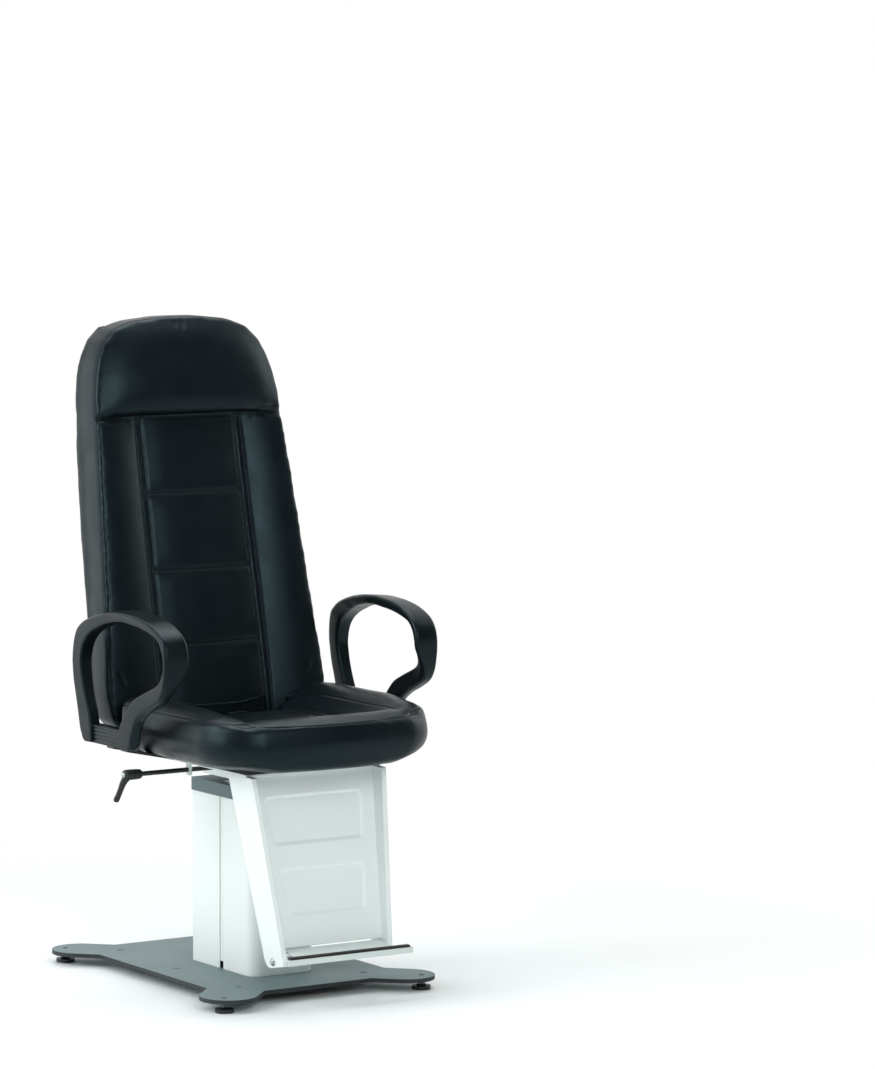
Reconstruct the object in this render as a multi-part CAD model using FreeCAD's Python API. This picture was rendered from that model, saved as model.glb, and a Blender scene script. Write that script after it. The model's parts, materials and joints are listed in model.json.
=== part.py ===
"""Examination chair: millimetres, +Z up, the sitter looks along -Y.
Everything is drawn about the swivel axis, and moved at the end so that the
origin is on the floor under the middle of the whole chair."""
import FreeCAD, Part
import math
import os

vec = FreeCAD.Vector
gap = 0.3          # running gap between moving faces and beside soft pieces
fit = 0.05         # radial clearance of a shaft in its bore
hole_gap = 0.15    # radial clearance of a screw in its hole
overrun = 1.0      # how far a cutter runs past a face

middle_y = 19.0    # the chair's middle behind the swivel axis
seat_half_x = 243.0
seat_front = 328.0 # forward of the swivel axis
back_face_y = 128.7       # front edge of the backrest at the seat's level

# base plate and feet
base_y = 50.0              # centre of the base plate behind the swivel axis
plate_half_x = 197.0
plate_half_y = 283.0
plate_t = 8.0
plate_z = 19.0             # underside above the floor
lobe_r = 55.0
foot_offset = 21.0         # feet outside the corners of the plate's middle part
foot_dx = plate_half_x + foot_offset
foot_dy = plate_half_y + foot_offset
foot_pad_r = 18.0
foot_pad_h = 7.0
foot_neck_r = 11.0
foot_neck_h = 3.0
foot_hex_r = 8.0
foot_hex_h = 2.5
stud_r = 5.0
stud_sunk = 2.0            # stud end below the plate's top
anchor_inset_x = 59.0      # floor anchor holes at the corners
anchor_inset_y = 58.0
side_anchor_inset = 54.0   # the two at the sides
anchor_dx = plate_half_x - anchor_inset_x
anchor_dy = plate_half_y - anchor_inset_y
side_anchor_dx = plate_half_x - side_anchor_inset
anchor_r = 4.5
anchor_sink_r = 8.0
anchor_sink_h = 3.5
stiffener_half_x = 90.0
stiffener_inset = 23.0
stiffener_half_y = plate_half_y - stiffener_inset
stiffener_t = 6.0
plate_top = plate_z + plate_t

# column
column_half_x = 71.0
column_half_y = 111.5
column_top = 359.5
column_front_r = 28.0
shroud_t = 2.0
seam_y = 4.0               # centre of the seam strip on each side
seam_width = 14.0
seam_lap = 6.0
seam_t = 1.5
seam_foot = 14.0           # the strip stops this far above the plate
flange_gap = 9.0           # between the guide's flange and the shrouds
flange_half_x = column_half_x - shroud_t - flange_gap
flange_half_y = column_half_y - shroud_t - flange_gap
flange_t = 8.0
flange_bolt_inset = 12.0
flange_bolt_dx = flange_half_x - flange_bolt_inset
flange_bolt_dy = flange_half_y - flange_bolt_inset
flange_bolt_r = 5.0
flange_bolt_head_r = 9.0
flange_bolt_head_h = 5.0
guide_inset_x = 10.0       # the guide stands this far inside its flange
guide_inset_y = 20.5
guide_half_x = flange_half_x - guide_inset_x
guide_half_y = flange_half_y - guide_inset_y
guide_wall = 4.0
guide_drop = 7.5           # below the shrouds' top
guide_top = column_top - guide_drop
pad_space = 3.0            # between the guide and the lift tube
lift_half_x = guide_half_x - guide_wall - pad_space
lift_half_y = guide_half_y - guide_wall - pad_space
lift_wall = 3.0
lift_foot = 60.0
pad_h = 32.0
pad_side_share = 0.6       # how much of a side a glide pad covers
gland_r = 9.0
gland_nut_r = 12.0
gland_nut_h = 6.0
gland_h = 15.0
gland_tip_r = 4.5
gland_z = 62.0

# actuator
gearbox_gap_x = 6.0        # to the lift tube's wall
gearbox_gap_y = 8.0
gearbox_half_x = lift_half_x - lift_wall - gearbox_gap_x
gearbox_half_y = lift_half_y - lift_wall - gearbox_gap_y
gearbox_h = 36.0
gearbox_corner_r = 17.0
spindle_well_h = 9.0
motor_inset = 6.0          # the can stands this far inside the gearbox's sides
motor_r = gearbox_half_x - motor_inset
motor_h = 112.0
motor_boss_r = 9.0
motor_boss_h = 7.0
motor_y = 33.0
spindle_r = 8.0
spindle_y = -30.0
spindle_len = 262.0
bearing_r = 16.0
bearing_h = 12.0
nut_r = 17.0
nut_h = 40.0
nut_above_bearing = 8.0
push_r = 15.0
push_wall = 5.5

# head cap and swivel
cap_lap = 2.0              # past the shrouds
cap_gap = 0.5              # above them
cap_half_x = column_half_x + cap_lap
cap_half_y = column_half_y + cap_lap
cap_bottom = column_top + cap_gap
cap_h = 25.0
cap_wall = 3.0
cap_roof = 4.0
top_plate_gap = 8.0        # to the cap's walls
top_plate_half_x = cap_half_x - cap_wall - top_plate_gap
top_plate_half_y = cap_half_y - cap_wall - top_plate_gap
top_plate_t = 8.0
post_flange_r = 60.0
post_flange_t = 6.0
post_r = 22.0
swivel_screw_ring_r = 51.0
swivel_screw_r = 3.0
swivel_screw_head_r = 6.0
swivel_screw_head_h = 3.0
washer_r = 42.0
washer_t = 2.0
hub_r = 43.0
bushing_wall = 3.0
retainer_r = 32.0
retainer_t = 3.6
retainer_bolt_r = 5.0
retainer_bolt_len = 28.0
retainer_head_r = 8.0
retainer_head_h = 6.0
housing_half_x = 68.0
housing_half_y = 78.0
housing_wall = 4.0
housing_rise = 12.0        # its foot above the cap
cap_top = cap_bottom + cap_h
housing_bottom = cap_top + housing_rise

# seat carrier and board
carrier_rise = 45.0        # the carrier's underside above the cap
carrier_bottom = cap_top + carrier_rise
carrier_t = 4.0
carrier_half_x = 148.0
carrier_front = -215.0
carrier_rear = 176.0
carrier_corner_r = 12.0
carrier_top = carrier_bottom + carrier_t
spacer_h = 12.0
board_bottom = carrier_top + spacer_h
board_t = 12.0
board_top = board_bottom + board_t
board_side_inset = 57.0    # inside the cushion's sides
board_front_inset = 48.0
board_rear_inset = 40.7    # ahead of the backrest
board_half_x = seat_half_x - board_side_inset
board_front = board_front_inset - seat_front
board_rear = back_face_y - board_rear_inset
board_corner_r = 75.0
board_rear_corner_r = 25.0
spacer_r = 14.0
spacer_x = 105.0
spacer_front_y = -140.0
spacer_rear_inset = 26.0
spacer_rear_y = board_rear - spacer_rear_inset
seat_bolt_r = 4.0
seat_bolt_head_r = 7.0
seat_bolt_head_h = 5.0
seat_bolt_bite = 9.0

# swivel lock
lock_drop = 12.0           # the rod below the carrier
lock_z = carrier_bottom - lock_drop
shoe_r = 7.0
shoe_len = 9.0
rod_tip_r = 6.0
rod_r = 4.5
ear_half_y = 6.0
ear_t = 6.0
ear_h = 22.0
ear_bottom = carrier_bottom - ear_h
rod_end_x = 262.0
insert_r = 6.5
insert_len = 12.0
tooth_count = 12
tooth_r = 0.6
handle_hub_r = 10.5
handle_hub_len = 38.0
handle_hub_inner_r = 7.5   # small end of the handle's hub, towards the chair
handle_tip_reach = 34.5    # past the rod's end
handle_tip_x = rod_end_x + handle_tip_reach
handle_tip_y = 11.0
handle_tip_drop = 48.0     # below the rod
handle_tip_z = lock_z - handle_tip_drop
handle_root_r = 7.5
handle_elbow_r = 5.8
handle_tip_r = 4.8
handle_elbow_reach = 28.0
handle_elbow_x = rod_end_x + handle_elbow_reach
handle_elbow_drop = 18.0
handle_elbow_z = lock_z - handle_elbow_drop
handle_waist_share = 0.35  # the hub's cone ends this far along it
handle_root_share = 0.66   # and the arm of the handle leaves it here
handle_web = 2.5           # wall between the insert's bore and the screw's pocket
handle_travel = 4.0        # the handle pulls out this far to clear the insert's teeth
lever_screw_head_r = 4.5
lever_screw_head_h = 3.5
lever_screw_r = 2.0
lever_screw_sunk = 1.0     # head below the hub's end

# footrest panel, a folded and pressed sheet
panel_top = carrier_bottom
panel_half_top = carrier_half_x
panel_half_foot = 119.5    # at the foot level below
panel_h = 357.0
panel_foot = panel_top - panel_h
nose_y_top = -236.0        # front fold of the side rails
nose_y_foot = -307.4
rail_width = 10.0
recess_top = 33.0          # face behind the rails' front
recess_foot = 17.5
sheet_t = 3.0
flange_y_top = -149.0      # rear edge of the side flanges
flange_depth_foot = 67.4
flange_y_foot = nose_y_foot + flange_depth_foot
flange_foot_r = 14.0
flange_foot_slope = 0.2    # the foot is cut square to the nose, so it rises forward
face_rise = 40.0           # the face starts this far above the rails' feet
face_foot = panel_foot + face_rise
window_recess = 3.5
window_slope = 6.0
window_corner_r = 13.0
window_drop = 40.0         # from the panel's top to the upper window
upper_window_h = 92.0
window_space = 41.0
lower_window_h = 89.0
upper_window_top = panel_top - window_drop
upper_window_foot = upper_window_top - upper_window_h
lower_window_top = upper_window_foot - window_space
lower_window_foot = lower_window_top - lower_window_h
window_margin_top = 24.0   # from the rails' inner wall to the window, at the upper window's top
window_margin_foot = 31.0  # and at the lower window's foot
tab_inset = 48.0           # from the panel's sides at the top
tab_half_x = panel_half_top - tab_inset
tab_depth = 40.0
panel_screw_r = 3.0
panel_screw_head_r = 5.5
panel_screw_head_h = 3.0
panel_screw_inset = 25.0   # from the tab's ends
panel_screw_dx = tab_half_x - panel_screw_inset

# tread
tread_bolt_back = 40.4     # behind the rails' nose at the foot
tread_bolt_rise = 14.0     # above their feet
tread_bolt_y = nose_y_foot + tread_bolt_back
tread_bolt_z = panel_foot + tread_bolt_rise
tread_bolt_r = 4.0
tread_bolt_head_r = 7.5
tread_bolt_head_h = 4.0
tread_nut_r = 6.5
tread_nut_h = 6.0
tread_spacer_r = 7.0
tread_rise = 30.5          # its top above the rails' feet, at the front bar
tread_slope_rise = 7.0     # the plate rises a little to the back
tread_top = panel_foot + tread_rise
tread_back_top = tread_top + tread_slope_rise
tread_t = 2.5
tread_side_gap = 3.5       # to the rails' inner walls at the foot
tread_half_x = panel_half_foot - rail_width - tread_side_gap
tread_reach = 42.6         # ahead of the rails' nose
tread_front = nose_y_foot - tread_reach
tread_bar_lap = 17.5       # the front bar runs past the panel
tread_bar_half_x = panel_half_foot + tread_bar_lap
tread_bar_depth = 15.0
tread_lip_h = 11.0
ear_thick = 3.0
ear_ahead = 22.0           # of the bolt
ear_behind = 13.0
ear_below = 8.0
ear_front = tread_bolt_y - ear_ahead
ear_rear = tread_bolt_y + ear_behind
ear_foot = tread_bolt_z - ear_below
strip_inset = 6.0
strip_half_x = tread_bar_half_x - strip_inset
strip_depth = 11.0
strip_h = 4.2
strip_groove_r = 0.6
groove_shares = (0.25, 0.5, 0.75)
rest_tab_len = 11.0        # tabs of the panel that the tread rests on
rest_tab_depth = 8.0
rest_tab_h = 3.3
rest_tab_back = 7.4        # behind the nose
rest_tab_y = nose_y_foot + rest_tab_back

# seat cushion
seat_back_gap = 3.0        # from the cushion's rear corners to the backrest's front
seat_rear_swell = 10.0     # the rear fills the hollow of the backrest
seat_skirt_lap = 5.0       # the underside hangs this far below the board
seat_floor_rise = 41.0     # the dish's floor above the board
seat_seam_rise = 36.0      # and the rest above the dish's floor
seat_ridge_rise = 54.0
seat_front_rise = 35.0
seat_seam_share = 0.473    # the seams beside the centre panel
seat_bottom = board_bottom - seat_skirt_lap
seat_floor_z = board_top + seat_floor_rise
seat_seam_z = seat_floor_z + seat_seam_rise
seat_ridge_z = seat_floor_z + seat_ridge_rise
seat_front_ridge_z = seat_floor_z + seat_front_rise
seat_panel_half = seat_half_x * seat_seam_share
seat_rear_r = 42.0
channel_r = 3.0
seat_channel_insets = (43.7, 173.7)        # ahead of the backrest
seat_channel_ys = [back_face_y - inset for inset in seat_channel_insets]
seat_corner_shares = ((1.0, 0.58), (0.914, 0.817), (0.68, 0.951))
# height, inset at the sides, inset at the front and rear, pull at the front corners:
# the underside is drawn in
skirt_shares = ((0.0, 0.27, 0.14, 0.06), (0.06, 0.2, 0.06, 0.055), (0.14, 0.105, 0.026, 0.045),
                (0.22, 0.045, 0.01, 0.025), (0.35, 0.006, 0.0, 0.008), (0.62, -0.006, -0.006, 0.0),
                (1.0, 0.0, 0.0, 0.0))
crown_shares = ((0.45, 0.028, 0.028, 0.0), (0.78, 0.058, 0.058, 0.0), (1.0, 0.1, 0.1, 0.0))
dish_shares = ((0.0, 0.49, 0.655), (0.13, 0.66, 0.755), (0.39, 0.78, 0.84), (0.72, 0.856, 0.893),
               (1.0, 0.912, 0.935), (1.15, 0.925, 0.945))
front_slope_share = 0.55   # the ridge reaches its full height this far forward

# backrest
back_foot_rise = 39.0      # above the seat cushion's underside
back_h = 788.0
back_side_lap = 4.0        # wider than the seat cushion
back_foot = seat_bottom + back_foot_rise
back_top = back_foot + back_h
back_half_x = seat_half_x + back_side_lap
back_level_rise = 75.0
back_level = back_foot + back_level_rise
back_lean_deg = 12.12
back_lean = math.tan(math.radians(back_lean_deg))
back_thick = 98.0
back_seam_half = 115.0
back_recess = 22.0         # centre panel behind the side edges
board_thick = 10.0
cover_thick = 6.0
rear_corner_r = 7.0
side_bulge_share = 0.25    # of the rear corner's radius
narrow_seam_share = 0.52   # the seams close in where the back narrows
back_channel_share = 0.62
back_channel_rises = (444.0, 298.0, 157.0)
back_channel_zs = [back_foot + rise for rise in back_channel_rises]
back_channel_r = 3.5
# height, half width, thickness, front at the seams and at the centre, bolster bulge: as shares
back_shares = (
    (0.000, 0.900, 0.800, 1.00, 0.70, 0.10),
    (0.025, 0.975, 0.815, 1.00, 0.66, 0.16),
    (0.095, 1.000, 0.840, 1.00, 0.60, 0.25),
    (0.280, 0.960, 0.910, 1.00, 0.60, 0.30),
    (0.470, 0.920, 0.990, 1.00, 0.60, 0.30),
    (0.660, 0.880, 1.000, 1.00, 0.62, 0.28),
    (0.737, 0.862, 0.955, 0.95, 0.72, 0.16),
    (0.750, 0.857, 0.945, 0.90, 0.86, 0.06),
    (0.764, 0.857, 0.940, 0.45, 0.25, 0.18),
    (0.799, 0.853, 0.925, -0.35, -0.60, 0.50),
    (0.850, 0.830, 0.900, -0.60, -0.85, 0.50),
    (0.895, 0.790, 0.860, -0.50, -0.70, 0.40),
    (0.937, 0.725, 0.800, -0.32, -0.45, 0.28),
    (0.970, 0.620, 0.730, -0.16, -0.22, 0.16),
    (0.990, 0.450, 0.640, -0.05, -0.08, 0.06),
    (1.000, 0.150, 0.560, 0.00, -0.01, 0.01),
)
board_inset = 14.0
cover_inset = 2.0

# back bar
bar_half_x = 45.0
bar_t = 8.0
bar_front_y = 34.0
bar_rise = 235.0           # past the backrest's foot
bar_top_z = back_foot + bar_rise
bar_bend_r = 28.0
bar_sector_reach = 112.0   # past the bend's outer face
bar_bolt_dx = 26.0
bar_bolt_ys = (62.0, 122.0)
bar_bolt_r = 4.0
bar_bolt_head_r = 7.5
bar_bolt_head_h = 3.5
bar_nut_r = 7.0
bar_nut_h = 6.0
bar_screw_dx = 28.0
bar_screw_shares = (0.34, 0.87)            # of the bar's rise
bar_screw_zs = [back_foot + bar_rise * share for share in bar_screw_shares]
bar_screw_r = 3.0
bar_screw_head_r = 6.0
bar_screw_head_h = 3.0
bar_screw_len = 21.0

# arms
arm_gap = 8.0              # beside the seat cushion
arm_inner_x = seat_half_x + arm_gap
arm_width = 51.0
arm_edge_r = 4.5
arm_foot_width = 26.0      # the loop's posts are narrower than its pad
arm_rise = 23.0            # the loop's foot above the board's underside
arm_half_len = 180.5
arm_h = 257.0
arm_ahead = 88.0           # the loop's middle ahead of the board's rear
arm_foot_z = board_bottom + arm_rise
arm_y = board_rear - arm_ahead
foot_inner_x = arm_inner_x + arm_width - arm_foot_width
link_h = 35.0
link_top_z = arm_foot_z + link_h
link_outer_inset = 5.0
link_groove_r = 1.2
# the loop from the side, from its rear foot over the pad to its front foot, as shares of its half
# length and height: the outer curve, the inner one, and the narrow stretches of the two posts
arm_outer_shares = ((0.770, 0.0), (0.792, 0.039), (0.859, 0.226), (0.931, 0.401), (0.967, 0.556),
                    (0.953, 0.685), (0.886, 0.809), (0.726, 0.895), (0.471, 0.953), (0.172, 0.992),
                    (-0.166, 1.0), (-0.499, 0.982), (-0.770, 0.930), (-0.942, 0.840), (-1.0, 0.712),
                    (-0.975, 0.556), (-0.831, 0.405), (-0.554, 0.304), (-0.366, 0.202), (-0.299, 0.082),
                    (-0.283, 0.0))
arm_inner_shares = ((0.551, 0.0), (0.571, 0.121), (0.641, 0.276), (0.726, 0.416), (0.767, 0.556),
                    (0.748, 0.685), (0.620, 0.794), (0.388, 0.875), (0.111, 0.926), (-0.222, 0.936),
                    (-0.554, 0.911), (-0.792, 0.868), (-0.914, 0.786), (-0.945, 0.689), (-0.892, 0.576),
                    (-0.687, 0.490), (-0.438, 0.423), (-0.233, 0.331), (-0.083, 0.210), (-0.020, 0.121),
                    (-0.011, 0.0))
post_shares = ((0.51, 1.04), (0.43, 0.70))  # height where the rear and front posts start to widen, and end
bracket_t = 5.0
bracket_gap = 3.0          # from the seat's spacers to the brackets' inner ends
bracket_inner_x = spacer_x + spacer_r + bracket_gap
bracket_ramp_x = board_half_x + 2 * gap  # the leg rises outward from here
bracket_knee_rise = 14.0
bracket_knee_z = board_bottom + bracket_knee_rise      # underside at the upright
bracket_insets = (70.0, 16.0)              # ahead of the board's rear
bracket_ys = [board_rear - inset for inset in bracket_insets]
bracket_width = 24.0
bracket_top_rise = 31.0    # past the loop's foot
arm_screw_rise = 17.0
bracket_top_z = arm_foot_z + bracket_top_rise
arm_screw_z = arm_foot_z + arm_screw_rise
arm_screw_r = 4.0
arm_screw_head_r = 7.5
arm_screw_len = 20.0
arm_screw_sink_share = 0.7 # of the bracket's thickness
bracket_screw_shares = (0.22, 0.78)        # from the bracket's inner end to the board's side
bracket_screw_xs = [bracket_inner_x + (board_half_x - bracket_inner_x) * share
                    for share in bracket_screw_shares]
bracket_screw_r = 3.0
bracket_screw_head_r = 5.5
bracket_screw_head_h = 3.5
bracket_screw_bite = 9.0


# plain shapes
def box(x0, x1, y0, y1, z0, z1):
    return Part.makeBox(x1 - x0, y1 - y0, z1 - z0, vec(x0, y0, z0))


def rod(radius, start, end):
    axis = end - start
    return Part.makeCylinder(radius, axis.Length, start, axis)


def rod_z(radius, z0, z1, x=0, y=0):
    return rod(radius, vec(x, y, z0), vec(x, y, z1))


def rod_x(radius, x0, x1, y=0, z=0):
    return rod(radius, vec(x0, y, z), vec(x1, y, z))


def ring_z(outer, inner, z0, z1, x=0, y=0):
    return rod_z(outer, z0, z1, x, y).cut(rod_z(inner, z0 - overrun, z1 + overrun, x, y))


def cone(r0, r1, start, end):
    axis = end - start
    return Part.makeCone(r0, r1, axis.Length, start, axis)


def hexagon_z(radius, z0, z1, x=0, y=0):
    corners = []
    for turn in range(6):
        angle = math.radians(60 * turn)
        corners.append(vec(x + radius * math.cos(angle), y + radius * math.sin(angle), z0))
    wire = Part.makePolygon(corners + corners[:1])
    return Part.Face(wire).extrude(vec(0, 0, z1 - z0))


def prism_x(points, x0, x1):
    corners = [vec(x0, y, z) for y, z in points]
    return Part.Face(Part.makePolygon(corners + corners[:1])).extrude(vec(x1 - x0, 0, 0))


def prism_z(points, z0, z1):
    corners = [vec(x, y, z0) for x, y in points]
    return Part.Face(Part.makePolygon(corners + corners[:1])).extrude(vec(0, 0, z1 - z0))


def mirrored(shape):
    return shape.mirror(vec(0, 0, 0), vec(1, 0, 0))


def group(shapes):
    return Part.makeCompound(shapes)


def both_sides(shape):
    return group([shape, mirrored(shape)])


def cut_all(shape, cutters):
    for cutter in cutters:
        shape = shape.cut(cutter)
    return shape


def fuse_all(shapes):
    whole = shapes[0]
    for shape in shapes[1:]:
        whole = whole.fuse(shape)
    return whole.removeSplitter()


def corner_arc(before, corner, after, radius):
    """Tangent points, middle and centre of the arc that rounds a corner."""
    back = (before - corner).normalize()
    ahead = (after - corner).normalize()
    half = back.getAngle(ahead) / 2
    reach = radius / math.tan(half)
    inward = (back + ahead).normalize()
    centre = corner + inward * (radius / math.sin(half))
    return corner + back * reach, centre - inward * radius, corner + ahead * reach, centre


def rounded_wire(corners, radii):
    """A closed wire of lines and tangent arcs."""
    arcs = []
    for i, radius in enumerate(radii):
        before = corners[i - 1]
        after = corners[(i + 1) % len(corners)]
        arcs.append(corner_arc(before, corners[i], after, radius) if radius else None)
    edges = []
    for i, arc in enumerate(arcs):
        following = arcs[(i + 1) % len(arcs)]
        start = arc[2] if arc else corners[i]
        end = following[0] if following else corners[(i + 1) % len(corners)]
        if arc:
            edges.append(Part.Arc(arc[0], arc[1], arc[2]).toShape())
        edges.append(Part.LineSegment(start, end).toShape())
    return Part.Wire(edges)


def rounded_slab(x0, x1, y0, y1, z0, z1, radii):
    corners = [vec(x0, y0, z0), vec(x1, y0, z0), vec(x1, y1, z0), vec(x0, y1, z0)]
    return Part.Face(rounded_wire(corners, radii)).extrude(vec(0, 0, z1 - z0))


def between(low, high, share):
    return low + (high - low) * share


# base
def lobe_plate(z0, z1):
    plate = box(-plate_half_x, plate_half_x, base_y - plate_half_y, base_y + plate_half_y, z0, z1)
    diagonal = lobe_r / math.sqrt(2)
    for side in (-1, 1):
        for end in (-1, 1):
            x = side * plate_half_x
            y = base_y + end * plate_half_y
            across = (-side * end * diagonal, diagonal)
            inward = (-side * diagonal, -end * diagonal)
            flank = [(x + across[0], y + across[1]), (x - across[0], y - across[1]),
                     (x - across[0] + inward[0], y - across[1] + inward[1]),
                     (x + across[0] + inward[0], y + across[1] + inward[1])]
            plate = plate.fuse(prism_z(flank, z0, z1)).fuse(rod_z(lobe_r, z0, z1, x, y))
    return plate.removeSplitter()


def anchor_places():
    places = [(side * anchor_dx, base_y + end * anchor_dy) for side in (-1, 1) for end in (-1, 1)]
    return places + [(side * side_anchor_dx, base_y) for side in (-1, 1)]


def column_bolt_places():
    return [(sx * flange_bolt_dx, sy * flange_bolt_dy) for sx in (-1, 1) for sy in (-1, 1)]


def foot_places():
    return {
        "front_left": (foot_dx, base_y - foot_dy), "front_right": (-foot_dx, base_y - foot_dy),
        "rear_left": (foot_dx, base_y + foot_dy), "rear_right": (-foot_dx, base_y + foot_dy)}


def base_plate():
    plate = lobe_plate(plate_z, plate_top)
    for x, y in anchor_places():
        sink = cone(anchor_r, anchor_sink_r, vec(x, y, plate_top - anchor_sink_h), vec(x, y, plate_top))
        plate = plate.cut(rod_z(anchor_r, plate_z - overrun, plate_top + overrun, x, y)).cut(sink)
    for x, y in column_bolt_places():
        plate = plate.cut(rod_z(flange_bolt_r + hole_gap, plate_z - overrun, plate_top + overrun, x, y))
    for x, y in foot_places().values():
        plate = plate.cut(rod_z(stud_r + fit, plate_z - overrun, plate_top + overrun, x, y))
    return plate


stiffener_bottom = plate_z - stiffener_t
flange_top = plate_top + flange_t


def column_bolt(x, y, slack):
    head_top = stiffener_bottom + flange_bolt_head_h
    head = cone(flange_bolt_head_r + slack, flange_bolt_r + slack,
                vec(x, y, stiffener_bottom), vec(x, y, head_top))
    return head.fuse(rod_z(flange_bolt_r + slack, head_top, flange_top + slack, x, y)).removeSplitter()


def stiffener_plate():
    plate = box(-stiffener_half_x, stiffener_half_x, base_y - stiffener_half_y, base_y + stiffener_half_y,
                stiffener_bottom, plate_z)
    return cut_all(plate, [column_bolt(x, y, hole_gap) for x, y in column_bolt_places()])


def foot_pad(x, y):
    disc = rod_z(foot_pad_r, 0, foot_pad_h, x, y)
    neck_top = foot_pad_h + foot_neck_h
    return disc.fuse(cone(foot_neck_r, foot_hex_r, vec(x, y, foot_pad_h), vec(x, y, neck_top)))


def foot_stud(x, y):
    hex_bottom = foot_pad_h + foot_neck_h
    hex_top = hex_bottom + foot_hex_h
    return hexagon_z(foot_hex_r, hex_bottom, hex_top, x, y).fuse(
        rod_z(stud_r, hex_top, plate_top - stud_sunk, x, y))


# column
def shroud(front):
    corner = column_front_r if front else 0
    radii = (corner, corner, 0, 0)
    outer = rounded_slab(-column_half_x, column_half_x, -column_half_y, column_half_y,
                         plate_top, column_top, radii)
    inner_r = column_front_r - shroud_t if front else 0
    inner = rounded_slab(shroud_t - column_half_x, column_half_x - shroud_t, shroud_t - column_half_y,
                         column_half_y - shroud_t, plate_top - overrun, column_top + overrun,
                         (inner_r, inner_r, 0, 0))
    wall = outer.cut(inner)
    wide = column_half_x + overrun
    if front:
        keep = box(-wide, wide, -column_half_y - overrun, seam_y - seam_width / 2, plate_top, column_top)
        return wall.common(keep)
    keep = box(-wide, wide, seam_y + seam_width / 2, column_half_y + overrun, plate_top, column_top)
    hole = rod(gland_r + hole_gap, vec(0, column_half_y - shroud_t - overrun, gland_z),
               vec(0, column_half_y + overrun, gland_z))
    return wall.common(keep).cut(hole)


def seam_strips():
    half = seam_width / 2 + seam_lap
    outer_x = column_half_x - shroud_t
    strip = box(outer_x - seam_t, outer_x, seam_y - half, seam_y + half, plate_top + seam_foot, column_top)
    return both_sides(strip)


def cable_gland():
    y0 = column_half_y - shroud_t - gland_nut_h / 2
    nut = rod(gland_nut_r, vec(0, column_half_y, gland_z), vec(0, column_half_y + gland_nut_h, gland_z))
    body = rod(gland_r, vec(0, y0, gland_z), vec(0, column_half_y + gland_nut_h, gland_z))
    dome = cone(gland_r, gland_tip_r, vec(0, column_half_y + gland_nut_h, gland_z),
                vec(0, column_half_y + gland_h, gland_z))
    return nut.fuse(body).fuse(dome)


def tube(half_x, half_y, wall, z0, z1):
    inner_x = half_x - wall
    inner_y = half_y - wall
    outer = box(-half_x, half_x, -half_y, half_y, z0, z1)
    return outer.cut(box(-inner_x, inner_x, -inner_y, inner_y, z0 - overrun, z1 + overrun))


def guide_column():
    flange = box(-flange_half_x, flange_half_x, -flange_half_y, flange_half_y, plate_top, flange_top)
    flange = cut_all(flange, [column_bolt(x, y, hole_gap) for x, y in column_bolt_places()])
    return flange.fuse(tube(guide_half_x, guide_half_y, guide_wall, flange_top, guide_top))


pad_t = pad_space - 2 * fit


def glide_pads(on_guide, z0):
    """Four flat pads between the lift tube and the guide."""
    shift = 2 * fit if on_guide else 0
    x0 = lift_half_x + shift
    y0 = lift_half_y + shift
    half_y = lift_half_y * pad_side_share
    half_x = lift_half_x * pad_side_share
    side = box(x0, x0 + pad_t, -half_y, half_y, z0, z0 + pad_h)
    end = box(-half_x, half_x, y0, y0 + pad_t, z0, z0 + pad_h)
    far_end = end.mirror(vec(0, 0, 0), vec(0, 1, 0))
    return group([side, mirrored(side), end, far_end])


gearbox_top = flange_top + gearbox_h
bearing_top = gearbox_top + bearing_h
nut_bottom = bearing_top + nut_above_bearing
nut_top = nut_bottom + nut_h
roof_bottom = cap_top - cap_roof
top_plate_bottom = roof_bottom - top_plate_t


def gearbox_housing():
    block = rounded_slab(-gearbox_half_x, gearbox_half_x, -gearbox_half_y, gearbox_half_y,
                         flange_top, gearbox_top, (gearbox_corner_r,) * 4)
    well_bottom = gearbox_top - spindle_well_h
    return block.cut(rod_z(spindle_r + 2 * gap, well_bottom, gearbox_top + overrun, 0, spindle_y))


def motor():
    can_top = gearbox_top + motor_h
    can = rod_z(motor_r, gearbox_top, can_top, 0, motor_y)
    return can.fuse(rod_z(motor_boss_r, can_top, can_top + motor_boss_h, 0, motor_y))


def spindle_bearing():
    return ring_z(bearing_r, spindle_r + fit, gearbox_top, bearing_top, 0, spindle_y)


def spindle():
    return rod_z(spindle_r, gearbox_top - spindle_well_h + gap, gearbox_top + spindle_len, 0, spindle_y)


def spindle_nut():
    return ring_z(nut_r, spindle_r + fit, nut_bottom, nut_top, 0, spindle_y)


def push_tube():
    return ring_z(push_r, push_r - push_wall, nut_top, top_plate_bottom, 0, spindle_y)


def lift_tube():
    return tube(lift_half_x, lift_half_y, lift_wall, lift_foot, top_plate_bottom)


def swivel_screw_places():
    places = []
    for turn in range(4):
        angle = math.radians(45 + 90 * turn)
        places.append((swivel_screw_ring_r * math.cos(angle), swivel_screw_ring_r * math.sin(angle)))
    return places


def top_plate():
    plate = box(-top_plate_half_x, top_plate_half_x, -top_plate_half_y, top_plate_half_y,
                top_plate_bottom, roof_bottom)
    holes = [rod_z(swivel_screw_r + hole_gap, top_plate_bottom - overrun, roof_bottom + overrun, x, y)
             for x, y in swivel_screw_places()]
    return cut_all(plate, holes)


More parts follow.
